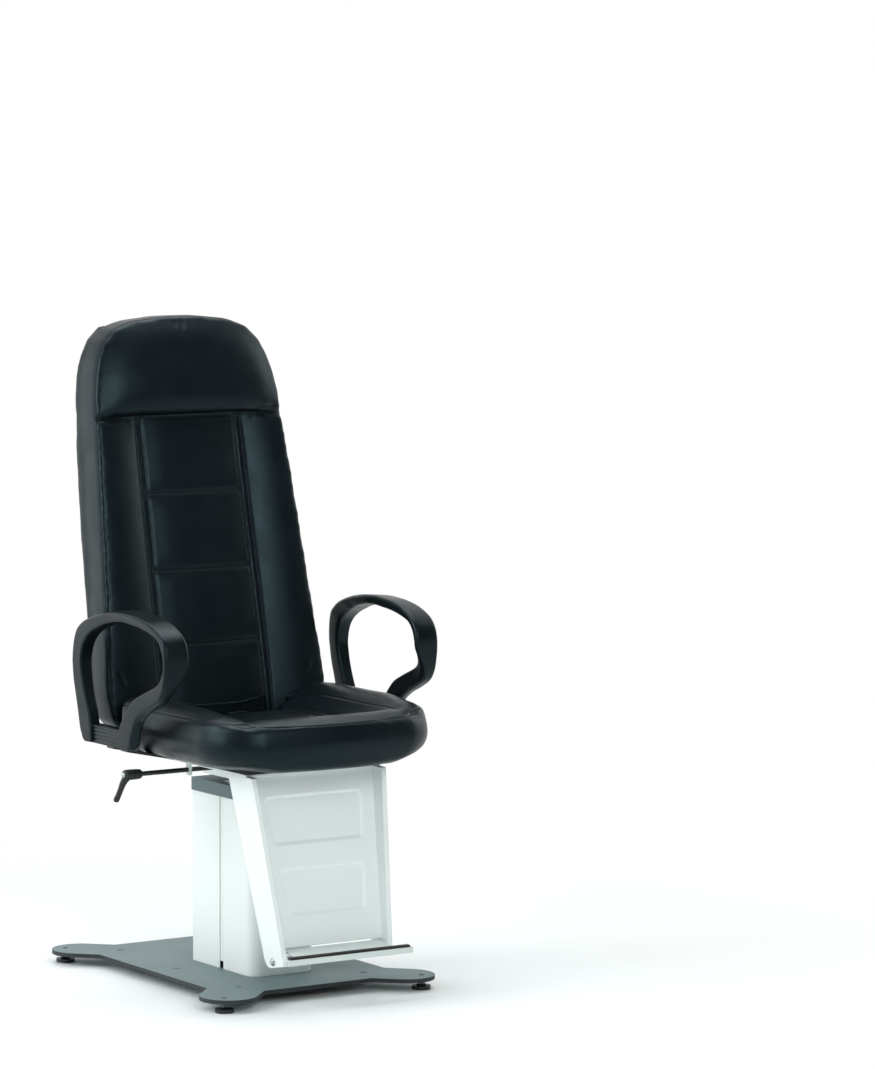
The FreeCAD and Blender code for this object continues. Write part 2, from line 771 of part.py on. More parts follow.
def head_cap():
    outer = rounded_slab(-cap_half_x, cap_half_x, -cap_half_y, cap_half_y, cap_bottom, cap_top,
                         (column_front_r, column_front_r, 0, 0))
    inner_r = column_front_r - cap_wall
    inner = rounded_slab(cap_wall - cap_half_x, cap_half_x - cap_wall, cap_wall - cap_half_y,
                         cap_half_y - cap_wall, cap_bottom - overrun, roof_bottom, (inner_r, inner_r, 0, 0))
    holes = [rod_z(swivel_screw_r + hole_gap, roof_bottom - overrun, cap_top + overrun, x, y)
             for x, y in swivel_screw_places()]
    return cut_all(outer.cut(inner), holes)


# swivel
post_flange_top = cap_top + post_flange_t
washer_top = post_flange_top + washer_t
hub_bottom = washer_top + gap
post_top = carrier_top + gap
bushing_r = post_r + fit + bushing_wall


def swivel_post():
    flange = rod_z(post_flange_r, cap_top, post_flange_top)
    holes = [swivel_screw(x, y, hole_gap) for x, y in swivel_screw_places()]
    post = rod_z(post_r, post_flange_top, post_top)
    bore = rod_z(retainer_bolt_r + hole_gap, post_top - retainer_bolt_len - overrun, post_top + overrun)
    return cut_all(flange, holes).fuse(post).cut(bore)


def swivel_screw(x, y, slack):
    head_bottom = post_flange_top - swivel_screw_head_h
    head = cone(swivel_screw_r + slack, swivel_screw_head_r + slack,
                vec(x, y, head_bottom), vec(x, y, post_flange_top))
    return head.fuse(rod_z(swivel_screw_r + slack, top_plate_bottom, head_bottom, x, y)).removeSplitter()


def swivel_screws():
    return group([swivel_screw(x, y, 0) for x, y in swivel_screw_places()])


def thrust_washer():
    return ring_z(washer_r, post_r + gap, post_flange_top, washer_top)


def post_retainer():
    washer = ring_z(retainer_r, retainer_bolt_r + hole_gap, post_top, post_top + retainer_t)
    head_bottom = post_top + retainer_t
    head = hexagon_z(retainer_head_r, head_bottom, head_bottom + retainer_head_h)
    bolt = head.fuse(rod_z(retainer_bolt_r, post_top - retainer_bolt_len, head_bottom))
    return group([washer, bolt])


shoe_inner_x = post_r + gap
shoe_outer_x = shoe_inner_x + shoe_len
tip_outer_x = hub_r - overrun


def lock_bores():
    """The stepped radial bore that the shoe and the rod's thread run in."""
    wide = rod_x(shoe_r + fit, -shoe_outer_x - gap, 0, 0, lock_z)
    narrow = rod_x(rod_tip_r + fit, -hub_r - overrun, 0, 0, lock_z)
    return wide.fuse(narrow)


def swivel_hub():
    hub = ring_z(hub_r, bushing_r, hub_bottom, carrier_bottom)
    return hub.cut(lock_bores())


def swivel_bushing():
    return ring_z(bushing_r, post_r + fit, hub_bottom, carrier_top).cut(lock_bores())


def brake_shoe():
    return rod_x(shoe_r, -shoe_outer_x, -shoe_inner_x, 0, lock_z)


def swivel_housing():
    ring = tube(housing_half_x, housing_half_y, housing_wall, housing_bottom, carrier_bottom)
    inner_x = housing_wall - housing_half_x
    hole = rod_x(rod_tip_r + gap, -housing_half_x - overrun, inner_x + overrun, 0, lock_z)
    return ring.cut(hole)


# swivel lock lever
def lever_rod():
    tip = rod_x(rod_tip_r, -tip_outer_x, -shoe_outer_x - gap, 0, lock_z)
    shaft = rod_x(rod_r, -rod_end_x, -tip_outer_x, 0, lock_z)
    return tip.fuse(shaft)


insert_outer_x = rod_end_x + insert_len
hub_inner_x = rod_end_x - insert_len
hub_outer_x = hub_inner_x + handle_hub_len


def lever_insert():
    """Toothed insert fixed on the rod's end, inside the handle's hub."""
    disc = rod_x(insert_r, -insert_outer_x, -rod_end_x, 0, lock_z)
    disc = disc.cut(rod_x(lever_screw_r, -insert_outer_x - overrun, -rod_end_x + overrun, 0, lock_z))
    teeth = []
    for tooth in range(tooth_count):
        angle = math.tau * tooth / tooth_count
        y = insert_r * math.cos(angle)
        z = lock_z + insert_r * math.sin(angle)
        teeth.append(rod_x(tooth_r, -insert_outer_x, -rod_end_x, y, z))
    return cut_all(disc, teeth)


web_outer_x = insert_outer_x + gap + handle_web
screw_head_x = hub_outer_x - lever_screw_sunk - lever_screw_head_h


def lever_handle():
    waist_x = between(hub_inner_x, hub_outer_x, handle_waist_share)
    collar = cone(handle_hub_inner_r, handle_hub_r, vec(-hub_inner_x, 0, lock_z), vec(-waist_x, 0, lock_z))
    hub = rod_x(handle_hub_r, -hub_outer_x, -waist_x, 0, lock_z)
    root = vec(-between(hub_inner_x, hub_outer_x, handle_root_share), 0, lock_z)
    elbow = vec(-handle_elbow_x, 0, handle_elbow_z)
    tip = vec(-handle_tip_x, handle_tip_y, handle_tip_z)
    upper = cone(handle_root_r, handle_elbow_r, root, elbow).fuse(Part.makeSphere(handle_elbow_r, elbow))
    lower = cone(handle_elbow_r, handle_tip_r, elbow, tip).fuse(Part.makeSphere(handle_tip_r, tip))
    body = collar.fuse(hub).fuse(upper).fuse(lower)
    bore = rod_x(insert_r + fit, -insert_outer_x - gap, -rod_end_x + handle_travel + gap, 0, lock_z)
    neck = rod_x(rod_r + fit, -rod_end_x, -hub_inner_x + overrun, 0, lock_z)
    hole = rod_x(lever_screw_r + gap, -hub_outer_x, -rod_end_x, 0, lock_z)
    pocket = rod_x(lever_screw_head_r + fit, -hub_outer_x - overrun, -web_outer_x, 0, lock_z)
    return cut_all(body, [bore, neck, hole, pocket])


def lever_screw():
    head = rod_x(lever_screw_head_r, -screw_head_x - lever_screw_head_h, -screw_head_x, 0, lock_z)
    return head.fuse(rod_x(lever_screw_r, -screw_head_x, -rod_end_x, 0, lock_z))


# carrier and seat board
def spacer_places():
    return [(side * spacer_x, y) for side in (-1, 1) for y in (spacer_front_y, spacer_rear_y)]


def bar_bolt_places():
    return [(side * bar_bolt_dx, y) for side in (-1, 1) for y in bar_bolt_ys]


def panel_screw_places():
    y = flange_y_top - tab_depth / 2
    return [(-panel_screw_dx, y), (0, y), (panel_screw_dx, y)]


def seat_carrier():
    plate = rounded_slab(-carrier_half_x, carrier_half_x, carrier_front, carrier_rear,
                         carrier_bottom, carrier_top, (0, 0, carrier_corner_r, carrier_corner_r))
    ear = box(-carrier_half_x, ear_t - carrier_half_x, -ear_half_y, ear_half_y, ear_bottom, carrier_bottom)
    ear_x = ear_t - carrier_half_x
    ear = ear.cut(rod_x(rod_r + fit, -carrier_half_x - overrun, ear_x + overrun, 0, lock_z))
    cutters = [rod_z(bushing_r, carrier_bottom - overrun, carrier_top + overrun)]
    for places, radius in ((spacer_places(), seat_bolt_r), (bar_bolt_places(), bar_bolt_r),
                           (panel_screw_places(), panel_screw_r)):
        for x, y in places:
            cutters.append(rod_z(radius + hole_gap, carrier_bottom - overrun, carrier_top + overrun, x, y))
    return cut_all(plate.fuse(ear).removeSplitter(), cutters)


def seat_spacers():
    return group([ring_z(spacer_r, seat_bolt_r + hole_gap, carrier_top, board_bottom, x, y)
                  for x, y in spacer_places()])


def seat_bolts():
    bolts = []
    for x, y in spacer_places():
        head = rod_z(seat_bolt_head_r, carrier_bottom - seat_bolt_head_h, carrier_bottom, x, y)
        bolts.append(head.fuse(rod_z(seat_bolt_r, carrier_bottom, board_bottom + seat_bolt_bite, x, y)))
    return group(bolts)


def bracket_screw_places():
    return [(side * x, y) for side in (-1, 1) for x in bracket_screw_xs for y in bracket_ys]



def seat_board():
    board = rounded_slab(-board_half_x, board_half_x, board_front, board_rear, board_bottom, board_top,
                         (board_corner_r, board_corner_r, board_rear_corner_r, board_rear_corner_r))
    start = board_bottom - overrun
    bolt_end = board_bottom + seat_bolt_bite + overrun
    screw_end = board_bottom + bracket_screw_bite + overrun
    holes = [rod_z(seat_bolt_r + hole_gap, start, bolt_end, x, y) for x, y in spacer_places()]
    holes += [rod_z(bracket_screw_r + hole_gap, start, screw_end, x, y) for x, y in bracket_screw_places()]
    return cut_all(board, holes)


# footrest panel
def panel_level(z):
    """Half width, nose, face and flange rear edge of the panel at a height."""
    share = (z - panel_foot) / (panel_top - panel_foot)
    half = between(panel_half_foot, panel_half_top, share)
    nose = between(nose_y_foot, nose_y_top, share)
    face = nose + between(recess_foot, recess_top, share)
    rear = between(flange_y_foot, flange_y_top, share)
    return half, nose, face, rear


def panel_hat(z):
    """Section of the folded sheet with its face, as a closed polygon."""
    half, nose, face, rear = panel_level(z)
    inner = half - rail_width
    right = [(half, rear), (half, nose), (inner, nose), (inner, face)]
    right_in = [(inner + sheet_t, face + sheet_t), (inner + sheet_t, nose + sheet_t),
                (half - sheet_t, nose + sheet_t), (half - sheet_t, rear)]
    left = [(-x, y) for x, y in reversed(right)]
    left_in = [(-x, y) for x, y in reversed(right_in)]
    corners = [vec(x, y, z) for x, y in right + left + left_in + right_in]
    return Part.makePolygon(corners + corners[:1])


def panel_rail(z):
    """Section of one side rail below the face."""
    half, nose, face, rear = panel_level(z)
    inner = half - rail_width
    points = [(half, rear), (half, nose), (inner, nose), (inner, face), (inner + sheet_t, face),
              (inner + sheet_t, nose + sheet_t), (half - sheet_t, nose + sheet_t), (half - sheet_t, rear)]
    corners = [vec(x, y, z) for x, y in points]
    return Part.makePolygon(corners + corners[:1])


def window_wire(z_top, z_foot, grow, depth):
    """A window's rounded outline on the face, grown sideways and set back."""
    def half_at(z):
        half = panel_level(z)[0] - rail_width
        share = (z - lower_window_foot) / (upper_window_top - lower_window_foot)
        return half - between(window_margin_foot, window_margin_top, share) + grow

    corners = []
    for side, z in ((-1, z_foot - grow), (1, z_foot - grow), (1, z_top + grow), (-1, z_top + grow)):
        corners.append(vec(side * half_at(z), panel_level(z)[2] + depth, z))
    return rounded_wire(corners, (window_corner_r,) * 4)


def footrest_panel():
    hat = Part.makeLoft([panel_hat(face_foot), panel_hat(panel_top)], True, True)
    rail = Part.makeLoft([panel_rail(panel_foot), panel_rail(face_foot)], True, True)
    panel = hat.fuse(rail).fuse(mirrored(rail))
    for z_top, z_foot in ((upper_window_top, upper_window_foot), (lower_window_top, lower_window_foot)):
        back = window_recess + sheet_t
        pad = [window_wire(z_top, z_foot, sheet_t, sheet_t / 2),
               window_wire(z_top, z_foot, sheet_t - window_slope, back)]
        pocket = [window_wire(z_top, z_foot, 0, -fit),
                  window_wire(z_top, z_foot, -window_slope, window_recess)]
        panel = panel.fuse(Part.makeLoft(pad, True, True)).cut(Part.makeLoft(pocket, True, True))
    under = panel_top - sheet_t
    half, nose, face, rear = panel_level(panel_top)
    tab = box(-tab_half_x, tab_half_x, face + sheet_t / 2, flange_y_top, under, panel_top)
    lid = box(half - rail_width - sheet_t, half - sheet_t / 2, nose + sheet_t / 2, rear, under, panel_top)
    panel = panel.fuse(tab).fuse(lid).fuse(mirrored(lid))
    inner = panel_level(tread_top)[0] - rail_width + sheet_t / 2
    rest_top = tread_surface(rest_tab_y) - tread_t - fit
    rest = box(inner - rest_tab_len, inner, rest_tab_y, rest_tab_y + rest_tab_depth,
               rest_top - rest_tab_h, rest_top)
    panel = panel.fuse(rest).fuse(mirrored(rest)).removeSplitter()
    cutters = [rod_z(panel_screw_r + hole_gap, under - overrun, panel_top + overrun, x, y)
               for x, y in panel_screw_places()]
    cutters.append(rod_x(tread_bolt_r + hole_gap, -panel_half_top, panel_half_top,
                         tread_bolt_y, tread_bolt_z))
    cutters.append(foot_cut())
    return cut_all(panel, cutters)


def foot_cut():
    """Cuts both flanges' feet square to the nose, and rounds their rear corner."""
    wide = panel_half_top
    turn_y = flange_y_foot - flange_foot_r
    front_y = nose_y_foot - sheet_t
    front_z = panel_foot + (turn_y - front_y) * flange_foot_slope
    low = panel_foot - overrun
    wedge = prism_x([(turn_y, panel_foot), (front_y, front_z), (front_y, low), (turn_y, low)], -wide, wide)
    square = box(-wide, wide, turn_y, flange_y_foot + overrun, low, panel_foot + flange_foot_r)
    return wedge.fuse(square.cut(rod_x(flange_foot_r, -wide, wide, turn_y, panel_foot + flange_foot_r)))


def panel_screws():
    screws = []
    top = carrier_top + panel_screw_head_h
    for x, y in panel_screw_places():
        head = rod_z(panel_screw_head_r, carrier_top, top, x, y)
        screws.append(head.fuse(rod_z(panel_screw_r, panel_top - 2 * sheet_t, carrier_top, x, y)))
    return group(screws)


def tread_bolts():
    outer = panel_level(tread_bolt_z)[0]
    y, z = tread_bolt_y, tread_bolt_z
    # the flange leans, so the head and spacer seat where they clear it
    lean = (panel_half_top - panel_half_foot) / (panel_top - panel_foot)
    head_x = outer + lean * tread_bolt_head_r + fit
    spacer_x1 = outer - sheet_t - lean * tread_spacer_r - fit
    ear_x1 = tread_half_x
    ear_x0 = tread_half_x - ear_thick
    nut_x = ear_x0 - tread_nut_h
    shank = rod_x(tread_bolt_r, nut_x, head_x, y, z)
    head = cone(tread_bolt_head_r, tread_bolt_head_r / 2, vec(head_x, y, z),
                vec(head_x + tread_bolt_head_h, y, z))
    nut = rod_x(tread_nut_r, nut_x, ear_x0, y, z)
    spacer = rod_x(tread_spacer_r, ear_x1, spacer_x1, y, z)
    return both_sides(shank.fuse(head).fuse(nut).fuse(spacer).removeSplitter())


def tread_surface(y):
    """Height of the tread's top behind the front bar."""
    bar_rear = tread_front + tread_bar_depth
    face_y = panel_level(tread_back_top)[2]
    return between(tread_top, tread_back_top, (y - bar_rear) / (face_y - bar_rear))


def tread():
    under = tread_top - tread_t
    bar_rear = tread_front + tread_bar_depth
    face_y = panel_level(tread_back_top)[2]
    plate = prism_x([(bar_rear, under), (face_y, tread_back_top - tread_t), (face_y, tread_back_top),
                     (bar_rear, tread_top)], -tread_half_x, tread_half_x)
    bar = box(-tread_bar_half_x, tread_bar_half_x, tread_front, bar_rear, under, tread_top)
    lip = box(-tread_bar_half_x, tread_bar_half_x, tread_front, tread_front + tread_t,
              tread_top - tread_lip_h, tread_top)
    ear_points = [(ear_front, tread_surface(ear_front) - tread_t / 2), (ear_front + ear_thick, ear_foot),
                  (ear_rear, ear_foot), (ear_rear, tread_bolt_z), (face_y, tread_back_top - tread_t / 2)]
    ear = prism_x(ear_points, tread_half_x - ear_thick, tread_half_x)
    ear = ear.cut(rod_x(tread_bolt_r + hole_gap, tread_half_x - ear_thick - overrun, tread_half_x + overrun,
                        tread_bolt_y, tread_bolt_z))
    return fuse_all([plate, bar, lip, ear, mirrored(ear)])


def tread_rubber():
    y0 = tread_front + tread_t / 2
    strip = box(-strip_half_x, strip_half_x, y0, y0 + strip_depth, tread_top, tread_top + strip_h)
    end_x = strip_half_x + overrun
    grooves = [rod_x(strip_groove_r, -end_x, end_x, y0 + strip_depth * share, tread_top + strip_h)
               for share in groove_shares]
    return cut_all(strip, grooves)


def back_front(z):
    """The backrest's front edge at a height."""
    return back_face_y + (z - back_level) * back_lean


# seat cushion
def seat_rear_at(z):
    """The cushion's rear leans with the backrest."""
    return back_front(z) - seat_back_gap


def seat_wire(half_x, front, rear, z, pull=0):
    """The cushion's outline at a height: lines, and arcs of under a half circle."""
    side_end, turn_middle, front_end = seat_corner_shares
    corner = [vec(half_x * side_end[0], -front * (side_end[1] - pull), z),
              vec(half_x * (turn_middle[0] - pull), -front * (turn_middle[1] - pull), z),
              vec(half_x * (front_end[0] - pull), -front * front_end[1], z)]
    other = [vec(-p.x, p.y, p.z) for p in reversed(corner)]
    rear_r = seat_rear_r
    turn = rear_r * (1 - math.sqrt(0.5))
    rear_right = [vec(half_x - rear_r, rear, z), vec(half_x - turn, rear - turn, z),
                  vec(half_x, rear - rear_r, z)]
    rear_left = [vec(-p.x, p.y, p.z) for p in reversed(rear_right)]
    edges = [
        Part.LineSegment(rear_right[2], corner[0]).toShape(),
        Part.Arc(*corner).toShape(),
        Part.Arc(corner[2], vec(0, -front, z), other[0]).toShape(),
        Part.Arc(*other).toShape(),
        Part.LineSegment(other[2], rear_left[0]).toShape(),
        Part.Arc(*rear_left).toShape(),
        Part.Arc(rear_left[2], vec(0, rear + seat_rear_swell, z), rear_right[0]).toShape(),
        Part.Arc(*rear_right).toShape(),
    ]
    return Part.Wire(edges)


def seat_cushion():
    wires = []
    for low, high, shares in ((seat_bottom, seat_seam_z, skirt_shares),
                              (seat_seam_z, seat_ridge_z, crown_shares)):
        for height_share, side_share, end_share, pull in shares:
            z = between(low, high, height_share)
            wires.append(seat_wire(seat_half_x * (1 - side_share), seat_front - seat_half_x * end_share,
                                   seat_rear_at(z) - seat_half_x * max(end_share, 0) / 2, z, pull))
    cushion = Part.makeLoft(wires, True, True)
    dish = Part.makeLoft([seat_wire(seat_half_x * wide, seat_front * deep, back_face_y + seat_rear_r,
                                    between(seat_floor_z, seat_ridge_z, height_share))
                          for height_share, wide, deep in dish_shares], True, True)
    slope_y = -seat_front * front_slope_share
    slope = [(slope_y, seat_ridge_z), (-seat_front, seat_front_ridge_z),
             (-seat_front - channel_r, seat_ridge_z + channel_r), (slope_y, seat_ridge_z + channel_r)]
    roll = prism_x(slope, -seat_half_x - channel_r, seat_half_x + channel_r)
    front_end = -seat_front * dish_shares[0][2]
    channels = [rod(channel_r, vec(side * seat_panel_half, front_end, seat_floor_z),
                    vec(side * seat_panel_half, back_face_y, seat_floor_z)) for side in (-1, 1)]
    channels += [rod_x(channel_r, -seat_panel_half, seat_panel_half, y, seat_floor_z)
                 for y in seat_channel_ys]
    pocket = rounded_slab(-board_half_x - gap, board_half_x + gap, board_front - gap, board_rear + gap,
                          seat_bottom - overrun, board_top + gap,
                          (board_corner_r, board_corner_r, board_rear_corner_r, board_rear_corner_r))
    notches = [bracket(side, y, gap) for side in (-1, 1) for y in bracket_ys]
    notches.append(box(-bar_half_x - gap, bar_half_x + gap, 0, seat_rear_at(board_bottom) + seat_rear_swell,
                       seat_bottom - overrun, carrier_top + bar_t + gap))
    return cut_all(cushion, [dish, roll, pocket] + channels + notches)


# backrest
def back_height(share):
    return between(back_foot, back_top, share)


def slab_wire(row, side_inset, from_rear, to_rear):
    """A plain four-sided section between two depths before the rear face."""
    share, wide, thick = row[:3]
    z = back_height(share)
    half = back_half_x * wide - side_inset
    rear = back_front(z) + back_thick * thick
    corners = [vec(-half, rear - from_rear, z), vec(half, rear - from_rear, z),
               vec(half, rear - to_rear, z), vec(-half, rear - to_rear, z)]
    return Part.makePolygon(corners + corners[:1])


def back_wire(row):
    share, wide, thick, seam, centre, bulge = row
    z = back_height(share)
    y = back_front(z)
    half = back_half_x * wide
    seam_x = min(back_seam_half, half * narrow_seam_share)
    seam_y_here = y + back_recess * seam
    rear = y + back_thick * thick - cover_thick
    corner_r = rear_corner_r * wide
    turn = corner_r * (1 - math.sqrt(0.5))
    middle = vec(0, y + back_recess * centre, z)
    bolster = vec((half + seam_x) / 2, (y + seam_y_here) / 2 - back_recess * bulge, z)
    edge = vec(half, y, z)
    bulge_x = corner_r * side_bulge_share
    side = vec(half + bulge_x, (y + rear) / 2, z)
    rear_side = vec(half - bulge_x, rear - corner_r, z)
    rear_turn = vec(half - bulge_x - turn, rear - turn, z)
    rear_end = vec(half - bulge_x - corner_r, rear, z)
    seam_point = vec(seam_x, seam_y_here, z)

    def left(p):
        return vec(-p.x, p.y, p.z)

    edges = [
        Part.Arc(left(seam_point), middle, seam_point).toShape(),
        Part.Arc(seam_point, bolster, edge).toShape(),
        Part.Arc(edge, side, rear_side).toShape(),
        Part.Arc(rear_side, rear_turn, rear_end).toShape(),
        Part.LineSegment(rear_end, left(rear_end)).toShape(),
        Part.Arc(left(rear_end), left(rear_turn), left(rear_side)).toShape(),
        Part.Arc(left(rear_side), left(side), left(edge)).toShape(),
        Part.Arc(left(edge), left(bolster), left(seam_point)).toShape(),
    ]
    return Part.Wire(edges)


board_rows = [row for row in back_shares if row[1] > 0.6 and row[0] > 0]
cover_rows = [row for row in back_shares if row[1] > 0.3]


def back_board():
    wires = [slab_wire(row, board_inset, board_thick + cover_thick, cover_thick) for row in board_rows]
    return cut_all(Part.makeLoft(wires, True, True), bar_screws(hole_gap))


def back_cover():
    wires = [slab_wire(row, cover_inset, cover_thick, 0) for row in cover_rows]
    return cut_all(Part.makeLoft(wires, True, True), bar_screws(hole_gap))


def back_cushion():
    cushion = Part.makeLoft([back_wire(row) for row in back_shares], True, True)
    board = Part.makeLoft([slab_wire(row, board_inset, board_thick + cover_thick, cover_thick - overrun)
                           for row in board_rows], True, True)
    depth = back_recess * back_channel_share
    channels = [rod_x(back_channel_r, -back_seam_half, back_seam_half, back_front(z) + depth, z)
                for z in back_channel_zs]
    return cut_all(cushion, [board] + channels + bar_screws(hole_gap))


# back bar
def rear_at(z):
    """The cover's rear face at a height, between the rows of the table."""
    share = (z - back_foot) / (back_top - back_foot)
    for low, high in zip(back_shares, back_shares[1:]):
        if low[0] <= share <= high[0]:
            part = (share - low[0]) / (high[0] - low[0])
            return back_front(z) + back_thick * between(low[2], high[2], part)
    return back_front(z) + back_thick * back_shares[0][2]


bar_low_z = bar_screw_zs[0]
bar_slope = (rear_at(bar_top_z) - rear_at(bar_low_z)) / (bar_top_z - bar_low_z)
bar_angle = math.atan(bar_slope)
bar_mid_z = carrier_top + bar_t / 2
bar_offset = gap + (bar_t / 2 + gap) / math.cos(bar_angle)


def bar_mid_y(z):
    return rear_at(bar_low_z) + (z - bar_low_z) * bar_slope + bar_offset


def bar_screws(slack):
    """Screws square to the bar, through the cover and into the board."""
    screws = []
    inward = vec(0, -math.cos(bar_angle), math.sin(bar_angle))
    for side in (-1, 1):
        for z in bar_screw_zs:
            seat = vec(side * bar_screw_dx, bar_mid_y(z), z) - inward * (bar_t / 2)
            end = seat + inward * (bar_screw_len + slack)
            screws.append(rod(bar_screw_r + slack, seat, end))
    return screws


def back_bar_screws():
    inward = vec(0, -math.cos(bar_angle), math.sin(bar_angle))
    screws = []
    for shank, (side, z) in zip(bar_screws(0), [(s, z) for s in (-1, 1) for z in bar_screw_zs]):
        seat = vec(side * bar_screw_dx, bar_mid_y(z), z) - inward * (bar_t / 2)
        head = cone(bar_screw_head_r, bar_screw_head_r / 2, seat, seat - inward * bar_screw_head_h)
        screws.append(shank.fuse(head))
    return group(screws)


def back_bar():
    front = vec(0, bar_front_y, bar_mid_z)
    bend = vec(0, bar_mid_y(bar_mid_z), bar_mid_z)
    top = vec(0, bar_mid_y(bar_top_z), bar_top_z)
    a, middle, b, centre = corner_arc(front, bend, top, bar_bend_r)
    half = vec(bar_half_x, 0, 0)

    def extruded(points):
        corners = [p - half for p in points]
        return Part.Face(Part.makePolygon(corners + corners[:1])).extrude(half * 2)

    def flat(start, end):
        normal = (end - start).normalize().cross(vec(1, 0, 0)) * (bar_t / 2)
        return extruded([start + normal, end + normal, end - normal, start - normal])

    out = (middle - centre).normalize()
    shell = rod(bar_bend_r + bar_t / 2, centre - half, centre + half)
    shell = shell.cut(rod(bar_bend_r - bar_t / 2, centre - half, centre + half))
    wedge_points = [centre] + [centre + way * bar_sector_reach
                               for way in ((a - centre).normalize(), out, (b - centre).normalize())]
    bar = fuse_all([flat(front, a), shell.common(extruded(wedge_points)), flat(b, top)])
    cutters = bar_screws(hole_gap)
    for x, y in bar_bolt_places():
        cutters.append(bar_bolt(x, y, hole_gap))
    return cut_all(bar, cutters)


def bar_bolt(x, y, slack):
    top = carrier_top + bar_t
    head_bottom = top - bar_bolt_head_h
    head = cone(bar_bolt_r + slack, bar_bolt_head_r + slack, vec(x, y, head_bottom), vec(x, y, top))
    bottom = carrier_bottom - bar_nut_h - overrun
    return head.fuse(rod_z(bar_bolt_r + slack, bottom, head_bottom, x, y)).removeSplitter()


def back_bar_bolts():
    pieces = []
    for x, y in bar_bolt_places():
        pieces.append(bar_bolt(x, y, 0))
        nut = hexagon_z(bar_nut_r, carrier_bottom - bar_nut_h, carrier_bottom, x, y)
        pieces.append(nut.cut(rod_z(bar_bolt_r + fit, carrier_bottom - bar_nut_h - overrun,
                                    carrier_bottom + overrun, x, y)))
    return group(pieces)


# arms
def arm_curve(shares):
    """Points of the loop's side view on its inner side."""
    return [vec(arm_inner_x, arm_y + arm_half_len * along_share, arm_foot_z + arm_h * up_share)
            for along_share, up_share in shares]


def spline(points):
    curve = Part.BSplineCurve()
    curve.interpolate(points)
    return curve.toShape()


def armrest(side):
    """A loop, wide and thin on top, with narrow deep posts and a grooved link between their feet."""
    outer = arm_curve(arm_outer_shares)
    inner = arm_curve(arm_inner_shares)
    feet = [Part.LineSegment(outer[-1], inner[-1]).toShape(), Part.LineSegment(inner[0], outer[0]).toShape()]
    wire = Part.Wire([spline(outer), feet[0], spline(inner[::-1]), feet[1]])
    loop = Part.Face(wire).extrude(vec(arm_width, 0, 0))
    loop = loop.makeFillet(arm_edge_r, [edge for edge in loop.Edges if edge.Length > arm_half_len])
    low = arm_foot_z - overrun
    near = arm_inner_x - overrun
    far_y = arm_half_len + overrun
    for way, (start_share, end_share) in zip((1, -1), post_shares):
        flank = [(near, low), (foot_inner_x, low), (foot_inner_x, arm_foot_z + arm_h * start_share),
                 (near, arm_foot_z + arm_h * end_share)]
        corners = [vec(x, arm_y, z) for x, z in flank]
        face = Part.Face(Part.makePolygon(corners + corners[:1]))
        loop = loop.cut(face.extrude(vec(0, way * far_y, 0)))
    link_x = arm_inner_x + arm_width - link_outer_inset
    link_y0 = inner[-1].y - arm_edge_r
    link_y1 = inner[0].y + arm_edge_r
    link = box(foot_inner_x, link_x, link_y0, link_y1, arm_foot_z, link_top_z)
    grooves = []
    for share in groove_shares:
        z = between(arm_foot_z, link_top_z, share)
        grooves.append(rod(link_groove_r, vec(link_x, link_y0, z), vec(link_x, link_y1, z)))
    whole = loop.fuse(cut_all(link, grooves)).removeSplitter()
    whole = cut_all(whole, [arm_screw(y, hole_gap) for y in bracket_ys])
    return whole if side > 0 else mirrored(whole)


def arm_screw(y, slack):
    inner_x = foot_inner_x - bracket_t
    head_x = inner_x + bracket_t * arm_screw_sink_share
    head = cone(arm_screw_head_r + slack, arm_screw_r + slack, vec(inner_x, y, arm_screw_z),
                vec(head_x, y, arm_screw_z))
    end_x = inner_x + arm_screw_len + slack
    return head.fuse(rod_x(arm_screw_r + slack, head_x, end_x, y, arm_screw_z))


def bracket(side, y, slack):
    """A flat bar: level under the board, rising outward, then upright against the arm."""
    inner_x = foot_inner_x - bracket_t
    leg_bottom = board_bottom - bracket_t
    rise = bracket_knee_z + bracket_t
    points = [(bracket_inner_x - slack, leg_bottom - slack), (bracket_ramp_x, leg_bottom - slack),
              (foot_inner_x + slack, bracket_knee_z - slack), (foot_inner_x + slack, bracket_top_z + slack),
              (inner_x - slack, bracket_top_z + slack), (inner_x - slack, rise + slack),
              (bracket_ramp_x, board_bottom + slack), (bracket_inner_x - slack, board_bottom + slack)]
    corners = [vec(x, y - bracket_width / 2 - slack, z) for x, z in points]
    face = Part.Face(Part.makePolygon(corners + corners[:1]))
    bar = face.extrude(vec(0, bracket_width + 2 * slack, 0))
    return bar if side > 0 else mirrored(bar)


def arm_brackets():
    bars = []
    leg_bottom = board_bottom - bracket_t
    for y in bracket_ys:
        holes = [rod_z(bracket_screw_r + hole_gap, leg_bottom - overrun, board_bottom + overrun, x, y)
                 for x in bracket_screw_xs]
        bars.append(cut_all(bracket(1, y, 0), [arm_screw(y, hole_gap)] + holes))
    return group(bars + [mirrored(bar) for bar in bars])


def arm_screws():
    left = [arm_screw(y, 0).removeSplitter() for y in bracket_ys]
    return group(left + [mirrored(screw) for screw in left])


def bracket_screws():
    screws = []
    leg_bottom = board_bottom - bracket_t
    for x, y in bracket_screw_places():
        head = rod_z(bracket_screw_head_r, leg_bottom - bracket_screw_head_h, leg_bottom, x, y)
        screws.append(head.fuse(rod_z(bracket_screw_r, leg_bottom, board_bottom + bracket_screw_bite, x, y)))
    return group(screws)


